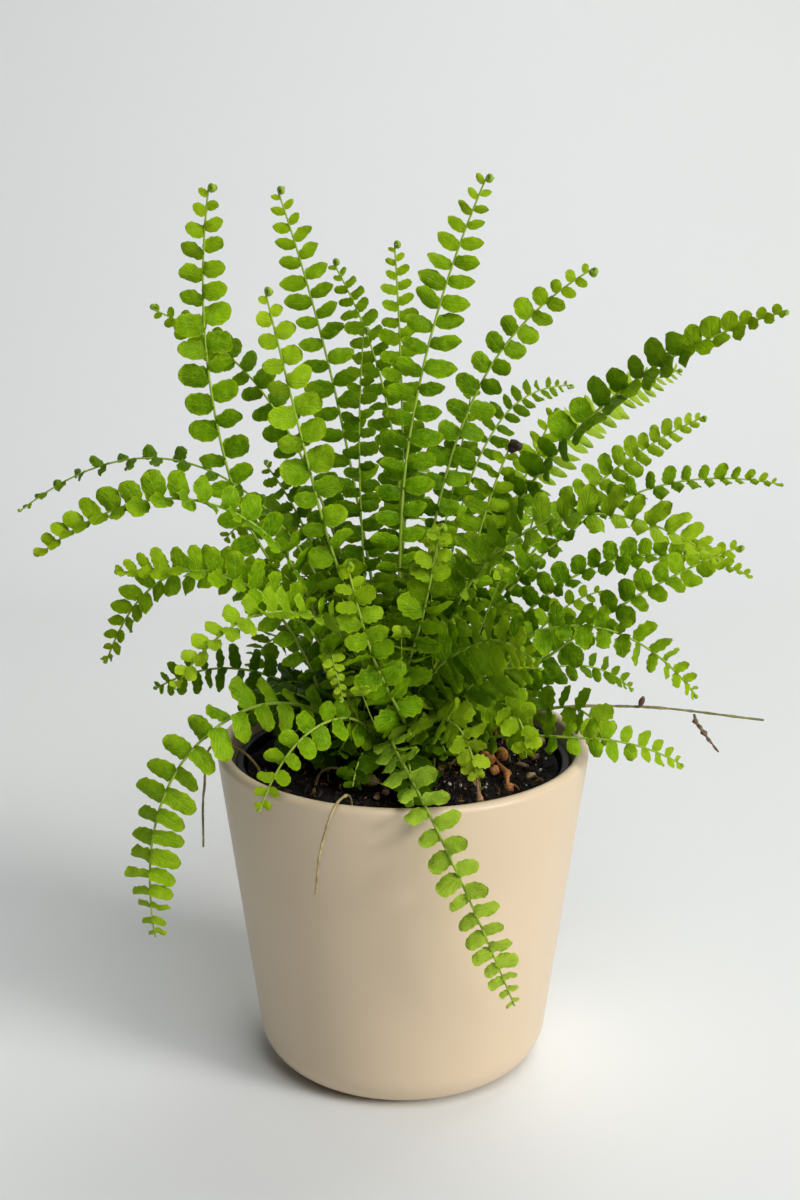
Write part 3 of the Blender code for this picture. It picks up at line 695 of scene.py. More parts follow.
def leaflet_mesh(name, hand, boxy, ear, teeth, draw):
    """A leaflet that is 1 long and 1 wide: its base at the origin, its end along +Y, its face up."""
    forward = -hand
    droop, fold = draw.uniform(0.0, 0.22), draw.uniform(-0.12, 0.18)
    sweep, wave = draw.uniform(-0.05, 0.12), draw.uniform(0.015, 0.05)
    narrow, phase = draw.uniform(-0.05, 0.18), draw.uniform(0.0, 6.0)
    along = [0.5 - 0.5 * math.cos(math.pi * row / LEAFLET_ROWS) for row in range(LEAFLET_ROWS + 1)]
    shape = bmesh.new()
    layer = shape.loops.layers.uv.new("UVMap")
    under = shape.faces.layers.float.new("underside")
    grids = ([], [])
    for row, v in enumerate(along):
        half = 0.5 * (1.0 - abs(2 * v - 1.0) ** boxy) ** (1 / boxy)
        half = max(half, LEAFLET_BASE / 2 if v < 0.5 else LEAFLET_END / 2) * (1.0 - narrow * v)
        ends = row in (0, LEAFLET_ROWS)
        for grid in grids:
            grid.append([])
        for column in LEAFLET_COLUMNS:
            edge = abs(column) == 1.0
            x = half * column
            if column * forward > 0.0:
                x += forward * ear * abs(column) * math.exp(-(((v - EAR_AT) / EAR_REACH) ** 2))
            if edge:
                x *= 1.0 + teeth * (1 if row % 2 else -1)
            z = fold * abs(2 * x) - droop * v**2 - EDGE_FALL * (2 * x) ** 2 * v
            z += wave * math.sin(phase + 9.0 * v + 2.5 * column) * (0.4 + abs(column))
            x += forward * sweep * v**2
            body = 0.0 if ends else LEAFLET_BODY * (1.0 - column**2)
            upper = shape.verts.new((x, v - OVER_RIB, z + body))
            grids[0][-1].append(upper)
            grids[1][-1].append(upper if edge or ends else shape.verts.new((x, v - OVER_RIB, z - body)))
    for side, grid in enumerate(grids):
        for row in range(LEAFLET_ROWS):
            for column in range(len(LEAFLET_COLUMNS) - 1):
                spots = [(row, column), (row, column + 1), (row + 1, column + 1), (row + 1, column)]
                if side:
                    spots.reverse()
                face = shape.faces.new([grid[a][b] for a, b in spots])
                face[under] = float(side)
                for loop, (a, b) in zip(face.loops, spots):
                    loop[layer].uv = ((LEAFLET_COLUMNS[b] + 1.0) / 2.0, along[a])
    for edge in shape.edges:
        edge.smooth = edge.link_faces[0][under] == edge.link_faces[1][under]
    return mesh_from(shape, name)


def leaflet_group(name, boxy, ear, teeth, seed):
    """A collection of leaflets, left and right in turn, that the frond tree picks from."""
    group = bpy.data.collections.new(name)
    draw = np.random.default_rng(seed)
    for kind in range(LEAFLET_KINDS):
        for side, hand in enumerate((-1, 1)):
            label = f"{name}_{kind}_{side}"
            mesh = leaflet_mesh(label, hand, boxy, ear, teeth, draw)
            group.objects.link(bpy.data.objects.new(label, mesh))
    return group


ROUND = leaflet_group("round_leaflet", 2.2, 0.06, 0.045, 3)
OBLONG = leaflet_group("oblong_leaflet", 2.5, 0.09, 0.06, 5)
POINTED = leaflet_group("pointed_leaflet", 1.7, 0.07, 0.04, 11)
SERRATED = leaflet_group("serrated_leaflet", 2.6, 0.08, 0.09, 13)
CRINKLED = leaflet_group("crinkled_leaflet", 2.1, 0.14, 0.12, 17)
TOOTHED = leaflet_group("toothed_leaflet", 2.1, 0.12, 0.10, 7)

# The leaflets' surface. Veins and scallops are measured in the leaflet's own length and width.
MOTTLE_MM, DOT_MM, SWELL_MM = 2.2, 0.9, 3.5
VEIN_RISE, SWELL_RISE = 0.2, 0.9  # in mm
VEIN_SLANT, VEIN_SPACING = -1.3, 0.11
SCALLOPS = 57.0
LIGHT_THROUGH = 0.28


def leaf_material(name, dark, light, young, under, speck, late=4.0):
    """A fern leaflet: waxy above, paler and duller below, with fine veins, painted shade at its base, a
    painted highlight along its rim, and light comes through.
    """
    material, tree, shader, place = new_material(name)
    tone, age, below = (
        add(tree, "ShaderNodeAttribute", output="Fac", attribute_name=label)
        for label in ("tone", "age", "underside")
    )
    spot = add(tree, "ShaderNodeSeparateXYZ", (add(tree, "ShaderNodeUVMap", uv_map="UVMap"),))
    along = spot.node.outputs[1]
    across = add(tree, MATH, (spot, 0.5), operation="SUBTRACT")
    across = add(tree, MATH, (across,), operation="ABSOLUTE")

    # The middle vein, and the veins that fork from it
    forks = add(tree, MATH, (across, VEIN_SLANT, along), operation="MULTIPLY_ADD")
    forks = add(tree, MATH, (forks, VEIN_SPACING), operation="PINGPONG")
    forks = add(tree, RANGE, (forks, 0.0, 0.035, 1.0, 0.0))
    middle = add(tree, RANGE, (across, 0.0, 0.05, 1.0, 0.0))
    veins = add(tree, MATH, (forks, middle), operation="MAXIMUM")

    # Where it is lighter: by leaflet and in mottles, but less at its base: painted shade where it meets the
    # rib and the leaflets beside it
    mottle = add(tree, NOISE, {"Vector": place, "Scale": 1 / (MOTTLE_MM * MM), "Detail": 5.0})
    lit = add(tree, RANGE, (mottle, 0.36, 0.64, 0.0, 0.45))
    lit = add(tree, MATH, (tone, 0.55, lit), operation="MULTIPLY_ADD")
    base = add(tree, RANGE, (along, 0.0, 0.55, 0.35, 1.0))
    lit = add(tree, MATH, (lit, base), operation="MULTIPLY")
    aged = add(tree, MATH, (age, late), operation="POWER")

    # Where it is specked, and a painted highlight along its scalloped rim, where its thin edge catches the
    # light
    dots = add(tree, NOISE, {"Vector": place, "Scale": 1 / (DOT_MM * MM), "Detail": 2.0})
    dots = add(tree, RANGE, (dots, 0.52, 0.70, 0.0, 0.34))
    dots = add(tree, MATH, (veins, 0.22, dots), operation="MULTIPLY_ADD")
    wave = add(tree, MATH, (along, SCALLOPS), operation="MULTIPLY")
    wave = add(tree, MATH, (wave,), operation="SINE")
    rim = add(tree, MATH, (across, 2.0), operation="MULTIPLY")
    rim = add(tree, MATH, (rim, along), operation="MAXIMUM")
    rim = add(tree, MATH, (wave, 0.05, rim), operation="MULTIPLY_ADD")
    rim = add(tree, RANGE, (rim, 0.8, 1.0, 0.0, 0.6))
    dull = add(tree, MATH, (below, 0.6), operation="MULTIPLY")
    tint = linear(dark)
    for share, colour in ((lit, light), (aged, young), (dots, speck), (rim, young), (dull, under)):
        tint = add(tree, MIX, {0: share, 6: tint, 7: linear(colour)}, **COLOUR)

    swell = add(tree, NOISE, {"Vector": place, "Scale": 1 / (SWELL_MM * MM), "Detail": 1.0})
    swell = add(tree, BUMP, {"Height": swell, "Strength": 0.9, "Distance": SWELL_RISE * MM})
    sunk = add(tree, MATH, (veins, -1.0, mottle), operation="MULTIPLY_ADD")
    sunk = {"Height": sunk, "Strength": 0.8, "Distance": VEIN_RISE * MM, "Normal": swell}
    look = {
        "Base Color": tint,
        "Normal": add(tree, BUMP, sunk),
        "Roughness": add(tree, RANGE, (below, 0.0, 1.0, 0.38, 0.65)),
        "Specular IOR Level": 0.08,
    }
    feed(shader, look)
    glow = add(tree, MIX, {0: 0.45, 6: tint, 7: linear(young)}, **COLOUR)
    glow = add(tree, "ShaderNodeBsdfTranslucent", {"Color": glow})
    both = add(tree, "ShaderNodeMixShader", (LIGHT_THROUGH, shader.outputs[0], glow))
    feed(tree.nodes["Material Output"], {"Surface": both})
    return material


# Leaf colours: material, dark, light, young, underside, specks, how late along the frond it turns young
TIPPED = "Green leaflet that is lime near the tip"
LEAVES = {
    "green": ("Waxy green leaflet", "#417800", "#92c60c", "#b8d816", "#8fae20", "#b4d034"),
    "fresh": ("Young green leaflet", "#6ca206", "#aad614", "#bedc1e", "#a2c22a", "#c4dc50"),
    "lime_tipped": (TIPPED, "#417800", "#92c60c", "#bcdc28", "#9fbe28", "#b4d034", 2.0),
    "lime": ("Unfolding lime leaflet", "#84b20c", "#b0d61c", "#cee638", "#a8cc28", "#cce444"),
    # deep: a darker copy of the green
    "deep": ("Darker green leaflet", "#2f5e00", "#6a9a04", "#98bc0e", "#769620", "#8eb020"),
    "shaded": ("Low shaded leaflet", "#2a5400", "#527e02", "#6f9a08", "#648418", "#6c9410"),
    "pale": ("Pale hanging leaflet", "#4a8606", "#9ccc18", "#cce84c", "#98bc2c", "#cce060", 1.0),
    "withered": ("Withered leaflet", "#7c5636", "#b08c60", "#c8a878", "#a08058", "#c8a878"),
}
leaf_finish = {key: leaf_material(*colours) for key, colours in LEAVES.items()}

# The rib: a firm stalk, brown and slightly hairy at its foot and pale green towards the tip
RIB_GRAIN_MM, RIB_GRAIN_RISE = 1.5, 0.1  # its spacing and relief
rib_green, tree, shader, place = new_material("Green rib")
age = add(tree, "ShaderNodeAttribute", output="Fac", attribute_name="age")
grown = add(tree, RANGE, (age, 0.05, 0.5))
grain = add(tree, NOISE, {"Vector": place, "Scale": 1 / (RIB_GRAIN_MM * MM), "Detail": 3.0})
last = add(tree, RANGE, (age, 0.965, 0.985, 0.0, 0.5))
tint = linear("#6a6422")
for share, colour in ((grown, "#acc850"), (grain, "#7c9a20"), (last, "#7ea41e")):
    tint = add(tree, MIX, {0: share, 6: tint, 7: linear(colour)}, **COLOUR)
look = {
    "Base Color": tint,
    "Normal": add(tree, BUMP, {"Height": grain, "Strength": 0.4, "Distance": RIB_GRAIN_RISE * MM}),
    "Roughness": 0.55,
    "Specular IOR Level": 0.25,
}
feed(shader, look)

# The fronds
# Each is one grown piece, a rib with its leaflets. Those of the crown's middle turn every way, and
# all get smaller and closer towards the tip, where the young leaflets are still pale.

# Name, tip, belly point, the way the blade looks, leaflets, length, width, spacing, colour, curl
FRONDS = (
    ("tall_left", (-63, 5, 311), (-59, 12, 208), FRONT, ROUND, 10.4, 7.7, 9.0, "green", 1.3),
    ("bright_front", (-44, -25, 280), (-32, -22, 209), FRONT, ROUND, 9.6, 7.8, 9.3, "fresh", 1.3),
    ("tall_right", (28, 0, 314), (2, 0, 225), FRONT, POINTED, 10.7, 6.0, 7.6, "green", 1.1),
    ("tall_left_inner", (-43, 30, 307), (-20, 25, 220), FRONT, POINTED, 10.2, 5.9, 7.7, "green", 1.1),
    ("front_hang", (36, -76, 55), (-1, -52, 131), FRONT, OBLONG, 8.6, 5.7, 7.4, "pale", 0.0),
    ("left_hang", (-84, -40, 62), (-54, -36, 141), LEFTWARD, OBLONG, 11.2, 6.3, 7.9, "fresh", 0.0),
    ("right_long", (126, -20, 270), (57, -5, 223), TILTED, ROUND, 9.8, 8.3, 7.6, "green", 0.6),
    ("right_upper", (66, 20, 281), (23, 20, 242), FRONT, ROUND, 8.6, 6.4, 8.2, "green", 1.0),
    ("left_broad", (-120, -30, 192), (-56, -30, 206), TILTED, ROUND, 9.8, 7.6, 7.9, "green", 0.5),
    ("right_broad", (101, -45, 195), (44, -40, 206), TILTED, OBLONG, 11.8, 6.7, 7.6, "lime_tipped", 0.4),
    ("left_near", (-71, -80, 163), (-40, -60, 183), TILTED, OBLONG, 9.4, 6.2, 7.2, "lime_tipped", 0.1),
    ("left_thin", (-138, 35, 191), (-66, 30, 207), LEVEL, OBLONG, 7.4, 5.0, 10.4, "deep", 0.3),
    ("right_slim", (133, 20, 205), (65, 15, 195), TILTED, OBLONG, 7.3, 4.4, 6.8, "green", 0.3),
    ("centre_back", (-3, 45, 287), (0, 35, 214), FRONT, OBLONG, 8.6, 4.9, 6.8, "green", 1.0),
    ("right_drop", (98, -30, 144), (52, -30, 169), OPEN, TOOTHED, 9.4, 5.4, 7.0, "green", 0.3),
    ("right_rising", (115, -5, 190), (56, -15, 159), OPEN, ROUND, 8.6, 6.2, 6.8, "green", 0.6),
    ("right_mid", (109, 45, 225), (56, 30, 190), OPEN, OBLONG, 8.2, 5.2, 5.8, "lime_tipped", 0.5),
    ("left_drop", (-104, 5, 144), (-65, 5, 178), OPEN, POINTED, 9.4, 5.6, 6.8, "green", 0.3),
    ("left_slim", (-94, -35, 188), (-45, -40, 183), TILTED, SERRATED, 10.0, 6.2, 6.8, "green", 0.4),
    ("right_rim", (96, -20, 116), (63, -25, 128), OPEN, POINTED, 8.0, 5.2, 6.4, "fresh", 0.3),
    ("right_dark", (125, 25, 170), (62, 20, 173), TILTED, OBLONG, 7.6, 5.8, 5.9, "green", 0.2),
    ("right_pale", (106, 90, 234), (58, 70, 207), FRONT, POINTED, 9.6, 3.4, 4.2, "pale", 0.4),
    ("left_back", (-91, 55, 262), (-48, 50, 229), FRONT, ROUND, 8.6, 6.2, 8.2, "deep", 0.6),
    ("back_curl", (-27, 100, 274), (-6, 75, 224), FRONT, OBLONG, 8.6, 5.1, 6.9, "deep", 1.2),
    ("left_low", (-92, 40, 123), (-52, 30, 133), FRONT, SERRATED, 9.4, 4.8, 6.4, "deep", 0.3),
    ("right_low_dark", (85, 35, 124), (56, 25, 137), OPEN, POINTED, 7.4, 4.4, 5.6, "deep", 0.2),
    ("left_rim", (-47, -55, 113), (-25, -45, 141), FRONT, ROUND, 8.0, 6.0, 7.4, "green", 0.3),
    ("crinkled_front", (24, -50, 124), (17, -42, 139), FRONT, CRINKLED, 9.4, 7.2, 5.6, "lime", 0.0),
    ("crinkled_mid", (41, -35, 125), (34, -28, 141), FRONT, CRINKLED, 9.0, 6.8, 5.2, "fresh", 0.0),
    ("crinkled_right", (68, -22, 124), (53, -20, 138), FRONT, CRINKLED, 9.6, 7.4, 5.8, "lime", 0.0),
    ("front_right", (41, -70, 170), (25, -50, 170), FRONT, SERRATED, 12.6, 7.0, 7.0, "green", 0.3),
    ("front_low", (46, -45, 159), (22, -40, 152), FRONT, SERRATED, 12.4, 6.8, 6.8, "deep", 0.2),
    ("front_centre", (12, -40, 207), (9, -35, 179), FRONT, TOOTHED, 9.4, 7.0, 6.6, "green", 0.8),
    ("front_left", (-18, -45, 195), (-12, -40, 171), FRONT, TOOTHED, 9.6, 7.2, 6.6, "green", 0.6),
    ("young_hang", (-19, -52, 150), (-23, -45, 164), FRONT, ROUND, 4.8, 3.6, 4.2, "lime", 0.4),
    ("centre_right", (53, 20, 233), (39, 20, 199), FRONT, POINTED, 8.8, 4.8, 7.0, "green", 0.8),
    ("centre_bead", (37, -5, 227), (23, -5, 195), FRONT, OBLONG, 8.8, 5.3, 7.0, "green", 0.6),
    ("right_back", (62, 60, 233), (35, 45, 223), FRONT, POINTED, 7.7, 4.0, 5.4, "deep", 0.6),
    ("young_back", (25, 35, 240), (21, 30, 219), FRONT, OBLONG, 6.8, 4.1, 6.0, "green", 1.0),
    ("young_curl", (-13, 15, 262), (-15, 15, 222), FRONT, OBLONG, 6.8, 4.3, 6.4, "deep", 1.2),
    ("left_inner", (-51, 55, 206), (-37, 45, 186), FRONT, TOOTHED, 8.8, 5.3, 7.0, "deep", 0.5),
    ("young_right", (71, 10, 170), (55, 8, 163), FRONT, ROUND, 6.6, 4.7, 6.2, "fresh", 0.8),
    ("back_left", (-70, 95, 165), (-38, 60, 180), BACKWARD, OBLONG, 8.8, 5.3, 7.0, "green", 0.4),
    ("back_mid", (5, 125, 175), (2, 75, 190), BACKWARD, ROUND, 8.6, 6.6, 8.2, "green", 0.2),
    ("back_right", (65, 105, 170), (38, 65, 175), BACKWARD, OBLONG, 8.8, 5.3, 7.0, "deep", 0.4),
    ("back_low_left", (-60, 85, 115), (-38, 55, 138), BACKWARD, TOOTHED, 8.6, 5.3, 7.0, "deep", 0.2),
    ("back_low_right", (50, 90, 105), (30, 58, 138), BACKWARD, TOOTHED, 8.6, 5.3, 7.0, "green", 0.2),
    ("back_hang", (-8, 98, 80), (-5, 66, 142), BACKWARD, ROUND, 9.5, 6.8, 8.0, "green", 0.0),
    ("dry", (27, -54, 114), (28, -38, 119), TILTED, OBLONG, 3.2, 2.2, 6.5, "withered", 0.0),
)
RIB_SHARE = 0.074  # the rib's radius at its foot, as a share of its longest leaflet's length
RIB_MOST = 0.62  # its largest radius in mm
RIB_SIDES = 7
GIRTH, NECK = 1.15, 0.5  # the rib's girth at its foot and below its curl
CURL_GIRTH, CURL_SWELL = 0.55, 0.75
CURL_NECK = 0.1  # bare stretch above the last leaflets
CURL_BARE = 0.9  # share of a curl's length that bears no leaflets
CURL_LENGTH = 2 * math.pi * (CURL_FIRST_RADIUS + CURL_LAST_RADIUS) / 2
BARE_TALL, BARE_LOW = 0.16, 0.08  # share of the rib that is bare, of fronds with high and low tips
TALL_TIP, LOW_TIP = 250.0, 120.0
FIRST_PAIR = 0.35  # where the lowest pair sits, as a share of the spacing
STAGGER = 0.3  # how far a right leaflet sits above its left one, as a share of their spacing
CLOSER_AT_TIP = 0.2
LEAN_AT_TIP = 0.45
DROOP = 0.06
SMALL_AT_FOOT, SMALL_AT_TIP, SMALLER_FROM = 0.72, 0.74, 0.4
LOOSE_AT_FOOT, LOOSE_AT_TIP = 1.6, 0.7  # how freely leaflets turn low and high on the rib
UNRULY = 1.8  # how much more the toothed and crinkled leaflets of the crown turn every way


VECTOR = "ShaderNodeVectorMath"
STORE = "GeometryNodeStoreNamedAttribute"
CARRIED = "GeometryNodeInputNamedAttribute"


def tube(line, radius, sides):
    """A closed tube round a curve."""
    ring = add(line.id_data, "GeometryNodeCurvePrimitiveCircle", {"Resolution": sides, "Radius": 1.0})
    sockets = {"Curve": line, "Profile Curve": ring, "Scale": radius, "Fill Caps": True}
    return add(line.id_data, "GeometryNodeCurveToMesh", sockets)


def finish_tree(*parts):
    """The tree's output, with these parts joined."""
    joined = add(parts[0].id_data, "GeometryNodeJoinGeometry")
    for part in parts:
        feed(joined.node, (part,))
    add(joined.id_data, "NodeGroupOutput", (joined,))


# Geometry Nodes for fronds: a tapered rib along each line, and leaflets almost in pairs along it
growing, given = new_tree(
    "Frond",
    Geometry="Rib",
    Int="Ribs, Pairs, Seed",
    Float="Rib radius, Bare share, Leafy until, Leaflet length, Leaflet width, Lean, Droop, Unruly",
    Collection="Leaflets",
    Material="Leaf surface, Rib surface",
)

# Random numbers for each leaflet: what for, from and to
CHANCES = (
    ("leaning", -0.10, 0.10),
    ("drooping", -0.26, 0.26),
    ("rolling", -0.50, 0.50),
    ("larger", 0.84, 1.12),
    ("wider", 0.95, 1.12),
    ("kind", 0.0, LEAFLET_KINDS - 0.001),
    ("tone", 0.0, 1.0),
)
for salt, (name, low, high) in enumerate(CHANCES, 1):
    seed = add(growing, MATH, (given["Seed"], float(salt)), operation="ADD")
    given[name] = add(growing, RANDOM, {2: low, 3: high, "Seed": seed}, output=1)
given["number"] = add(growing, "GeometryNodeInputIndex")
given["girth"] = add(growing, CARRIED, {"Name": "girth"}, data_type="FLOAT")

# The sums for each leaflet, each a Math node: what it gives, what it does, and what it takes
SUMS = (
    ("rib radius", "MULTIPLY", "Rib radius", "girth"),
    # Which rib it sits on, on which side, in which pair, and how far along
    ("on a rib", "MULTIPLY", "Pairs", 2.0),
    ("in all", "MULTIPLY", "on a rib", "Ribs"),
    ("which rib", "ADD", "number", 0.5),
    ("which rib", "DIVIDE", "which rib", "on a rib"),
    ("which rib", "FLOOR", "which rib"),
    ("before", "MULTIPLY", "which rib", "on a rib"),
    ("place", "SUBTRACT", "number", "before"),
    ("side", "MODULO", "place", 2.0),
    ("pair", "DIVIDE", "place", 2.0),
    ("pair", "FLOOR", "pair"),
    ("pair", "ADD", "pair", FIRST_PAIR),
    ("share", "MULTIPLY_ADD", "side", STAGGER, "pair"),
    ("share", "DIVIDE", "share", "Pairs"),
    ("cubed", "POWER", "share", 3.0),
    ("bowed", "MULTIPLY", "cubed", CLOSER_AT_TIP),
    ("closer", "MULTIPLY", "share", 1.0 + CLOSER_AT_TIP),
    ("closer", "SUBTRACT", "closer", "bowed"),
    ("leafy", "SUBTRACT", "Leafy until", "Bare share"),
    ("along", "MULTIPLY_ADD", "closer", "leafy", "Bare share"),
    # How it turns: away from the rib, towards the tip, up or down, and loosely about its own stalk
    ("loose", "MULTIPLY_ADD", "share", LOOSE_AT_TIP - LOOSE_AT_FOOT, LOOSE_AT_FOOT),
    ("loose", "MULTIPLY", "loose", "Unruly"),
    ("leaning", "MULTIPLY", "leaning", "loose"),
    ("late", "POWER", "share", 4.0),
    ("leaning", "MULTIPLY_ADD", "late", LEAN_AT_TIP, "leaning"),
    ("leaning", "ADD", "Lean", "leaning"),
    ("ahead", "SINE", "leaning"),
    ("aside", "COSINE", "leaning"),
    ("outward", "MULTIPLY_ADD", "side", 2.0, -1.0),
    ("drooping", "MULTIPLY", "drooping", "loose"),
    ("drooping", "ADD", "Droop", "drooping"),
    ("up", "MULTIPLY", "drooping", -1.0),
    ("rolling", "MULTIPLY", "rolling", "loose"),
    # How large it is: less low on the rib and least at its tip
    ("low", "ADD", "share", SMALL_AT_FOOT),
    ("low", "MINIMUM", "low", 1.0),
    ("past", "SUBTRACT", "share", SMALLER_FROM),
    ("past", "DIVIDE", "past", 1.0 - SMALLER_FROM),
    ("past", "MAXIMUM", "past", 0.0),
    ("past", "POWER", "past", 3.0),
    ("high", "MULTIPLY_ADD", "past", -SMALL_AT_TIP, 1.0),
    ("size", "MULTIPLY", "low", "high"),
    ("size", "MULTIPLY", "size", "larger"),
    ("length", "MULTIPLY", "size", "Leaflet length"),
    ("width", "MULTIPLY", "size", "Leaflet width"),
    ("width", "MULTIPLY", "width", "wider"),
    # Which leaflet of the collection, where left ones and right ones take turns
    ("kind", "FLOOR", "kind"),
    ("kind", "MULTIPLY_ADD", "kind", 2.0, "side"),
)
for name, operation, *values in SUMS:
    given[name] = add(growing, MATH, [given.get(value, value) for value in values], operation=operation)

line = add(growing, "GeometryNodeMeshToCurve", {"Mesh": given["Rib"]})
age = add(growing, "GeometryNodeSplineParameter")
aged = add(growing, STORE, {"Geometry": line, "Name": "age", "Value": age})
rib = tube(aged, given["rib radius"], RIB_SIDES)

upper = add(growing, CARRIED, {"Name": "upper"}, data_type="FLOAT_VECTOR")
sample = {"Curves": line, 1: upper, 2: given["along"], "Curve Index": given["which rib"]}
face = add(growing, "GeometryNodeSampleCurve", sample, data_type="FLOAT_VECTOR")
position, tangent = face.node.outputs[1:3]
points = add(growing, "GeometryNodePoints", {"Count": given["in all"], "Position": position})
outward = add(growing, VECTOR, (tangent, face), operation="CROSS_PRODUCT")
outward = add(growing, VECTOR, (outward,), operation="NORMALIZE")
outward = add(growing, VECTOR, {0: outward, "Scale": given["outward"]}, operation="SCALE")
ahead, aside, up = (
    add(growing, VECTOR, {0: axis, "Scale": given[name]}, operation="SCALE")
    for name, axis in (("ahead", tangent), ("aside", outward), ("up", face))
)
direction = add(growing, VECTOR, (ahead, aside), operation="ADD")
direction = add(growing, VECTOR, (direction, up), operation="ADD")
axes = {"Primary Axis": direction, "Secondary Axis": face}
turn = add(growing, "FunctionNodeAxesToRotation", axes, primary_axis="Y", secondary_axis="Z")
roll = add(growing, "ShaderNodeCombineXYZ", {"Y": given["rolling"]})
roll = {"Rotation": turn, "Rotate By": add(growing, "FunctionNodeEulerToRotation", {"Euler": roll})}
turn = add(growing, "FunctionNodeRotateRotation", roll, rotation_space="LOCAL")
scale = add(growing, "ShaderNodeCombineXYZ", (given["width"], given["length"], given["length"]))
leaves = {"Instance Index": given["kind"], "Rotation": turn, "Scale": scale}
leaves = picked(points, given["Leaflets"], leaves)
for name, value in (("tone", given["tone"]), ("age", given["share"])):
    leaves = add(growing, STORE, {"Geometry": leaves, "Name": name, "Value": value}, domain="INSTANCE")
finish_tree(surfaced(rib, given["Rib surface"]), surfaced(leaves, given["Leaf surface"]))


def rib_mesh(name, lines):
    """Ribs as edges, each a line with the blade's upper side and the rib's girth at every point."""
    corners, edges, uppers, girths = [], [], [], []
    for points, normals, curl in lines:
        far = walked(points)
        left = far[-1] - far
        edges += [(len(corners) + i, len(corners) + i + 1) for i in range(len(points) - 1)]
        corners += [tuple(MM * c for c in p) for p in points]
        uppers += [c for normal in normals for c in normal]
        slim = GIRTH + (NECK - GIRTH) * far / far[-1]
        knob = CURL_GIRTH + CURL_SWELL * np.sin(math.pi * left / max(curl, 1e-6))
        girths += list(np.where(left < curl, knob, slim))
    mesh = bpy.data.meshes.new(name)
    mesh.from_pydata(corners, edges, [])
    mesh.attributes.new("upper", "FLOAT_VECTOR", "POINT").data.foreach_set("vector", uppers)
    mesh.attributes.new("girth", "FLOAT", "POINT").data.foreach_set("value", girths)
    return mesh


def grow(name, lines, leaflets, size, finish, looks, bare, unruly, seed):
    """One piece of foliage: its ribs, and leaflets of this length, width and spacing along them."""
    length, width, spacing = size
    longest = max(walked(points)[-1] for points, _, _ in lines)
    until = 1.0 - (CURL_BARE * max(curl for _, _, curl in lines) + CURL_NECK) / longest
    values = {
        "Ribs": len(lines),
        "Pairs": round(longest * (until - bare) / spacing),
        "Seed": seed,
        "Rib radius": MM * min(RIB_SHARE * length, RIB_MOST),
        "Bare share": bare,
        "Leafy until": until,
        "Leaflet length": MM * length,
        "Leaflet width": MM * width,
        "Lean": LEANING[looks],
        "Droop": DROOP - RAISED[looks],
        "Unruly": unruly,
        "Leaflets": leaflets,
        "Leaf surface": leaf_finish[finish],
        "Rib surface": rib_green,
    }
    piece = plain(with_tree(new_piece(name, rib_mesh(name, lines)), growing, values), name)
    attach(piece, "root")
    return piece


tips = {}
for number, (name, tip, belly, looks, leaflets, *size, finish, turns) in enumerate(FRONDS):
    line = laid_rib(f"frond_{name}", tip, belly)
    points, uppers = curled(line, looks, turns)
    foot = points[0] - np.array((0.0, 0.0, STEM_IN_SOIL))
    points, uppers = np.vstack([foot, points]), np.vstack([uppers[0], uppers])
    tips[name] = points[-1]
    height = min(max((tip[2] - LOW_TIP) / (TALL_TIP - LOW_TIP), 0.0), 1.0)
    bare = BARE_LOW + (BARE_TALL - BARE_LOW) * height
    unruly = UNRULY if leaflets in (TOOTHED, CRINKLED) else 1.0
    lines = [(points, uppers, CURL_LENGTH * turns)]
    piece = grow(f"fern_{name}", lines, leaflets, size, finish, looks, bare, unruly, 10 * number)
    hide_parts(f"frond_{name}")

# The undergrowth
# Short young fronds that crowd the crown below the others and hide their stems. They grow from
# the same root: the low ones stay over the soil, and slimmer ones stand up between the tall stems.

GOLDEN_TURN = 2.39996
GOLDEN_SHARE = 0.618
UNDERGROWTH_BARE = 0.25
FIRST_DRAW, FIRST_SEED = 23, 501
EVERY_FOURTH = slice(None, None, 4)

# Rings: name, number, roots from and to, reach, height of the arch, fall of the tip below it, leaflets'
# length, width and spacing, finish, sector that stays free in degrees
RINGS = (
    ("undergrowth_inner", 30, (5, 20), (16, 28), (116, 140), (3, 12), (7.8, 6.0, 6.0), "shaded", (-62, 4)),
    ("undergrowth_outer", 22, (12, 24), (28, 38), (124, 142), (3, 12), (7.6, 5.8, 5.8), "shaded", (-150, 10)),
    ("undergrowth_upright", 26, (3, 16), (14, 34), (146, 176), (-26, -4), (6.2, 4.2, 4.6), "deep", (0, 0)),
)
for order, (name, count, (near, far), reaches, heights, falls, size, finish, spared) in enumerate(RINGS):
    draw = np.random.default_rng(FIRST_DRAW + order)
    lines = []
    for number in range(count):
        turn = GOLDEN_TURN * number
        if spared[0] < spared[1]:
            turn = math.radians(spared[1] + (360 - spared[1] + spared[0]) * (GOLDEN_SHARE * number % 1.0))
        heading = np.array((math.cos(turn), math.sin(turn)))
        start = near + (far - near) * math.sqrt(number / count)
        reach, height = draw.uniform(*reaches), draw.uniform(*heights)
        x, y = CROWN + start * heading
        belly = (*(CROWN + (start + 0.45 * reach) * heading), height)
        tip = (*(CROWN + (start + reach) * heading), height - draw.uniform(*falls))
        line = rib_curve((x, y, soil_height(x, y)), belly, tip)[EVERY_FOURTH]
        outward = (0.5 * heading[0], 0.5 * heading[1] - 0.3, 0.8)
        lines.append((line, frames_along(line, outward)[1], 0.0))
    piece = grow(name, lines, TOOTHED, size, finish, LEVEL, UNDERGROWTH_BARE, UNRULY, FIRST_SEED + order)

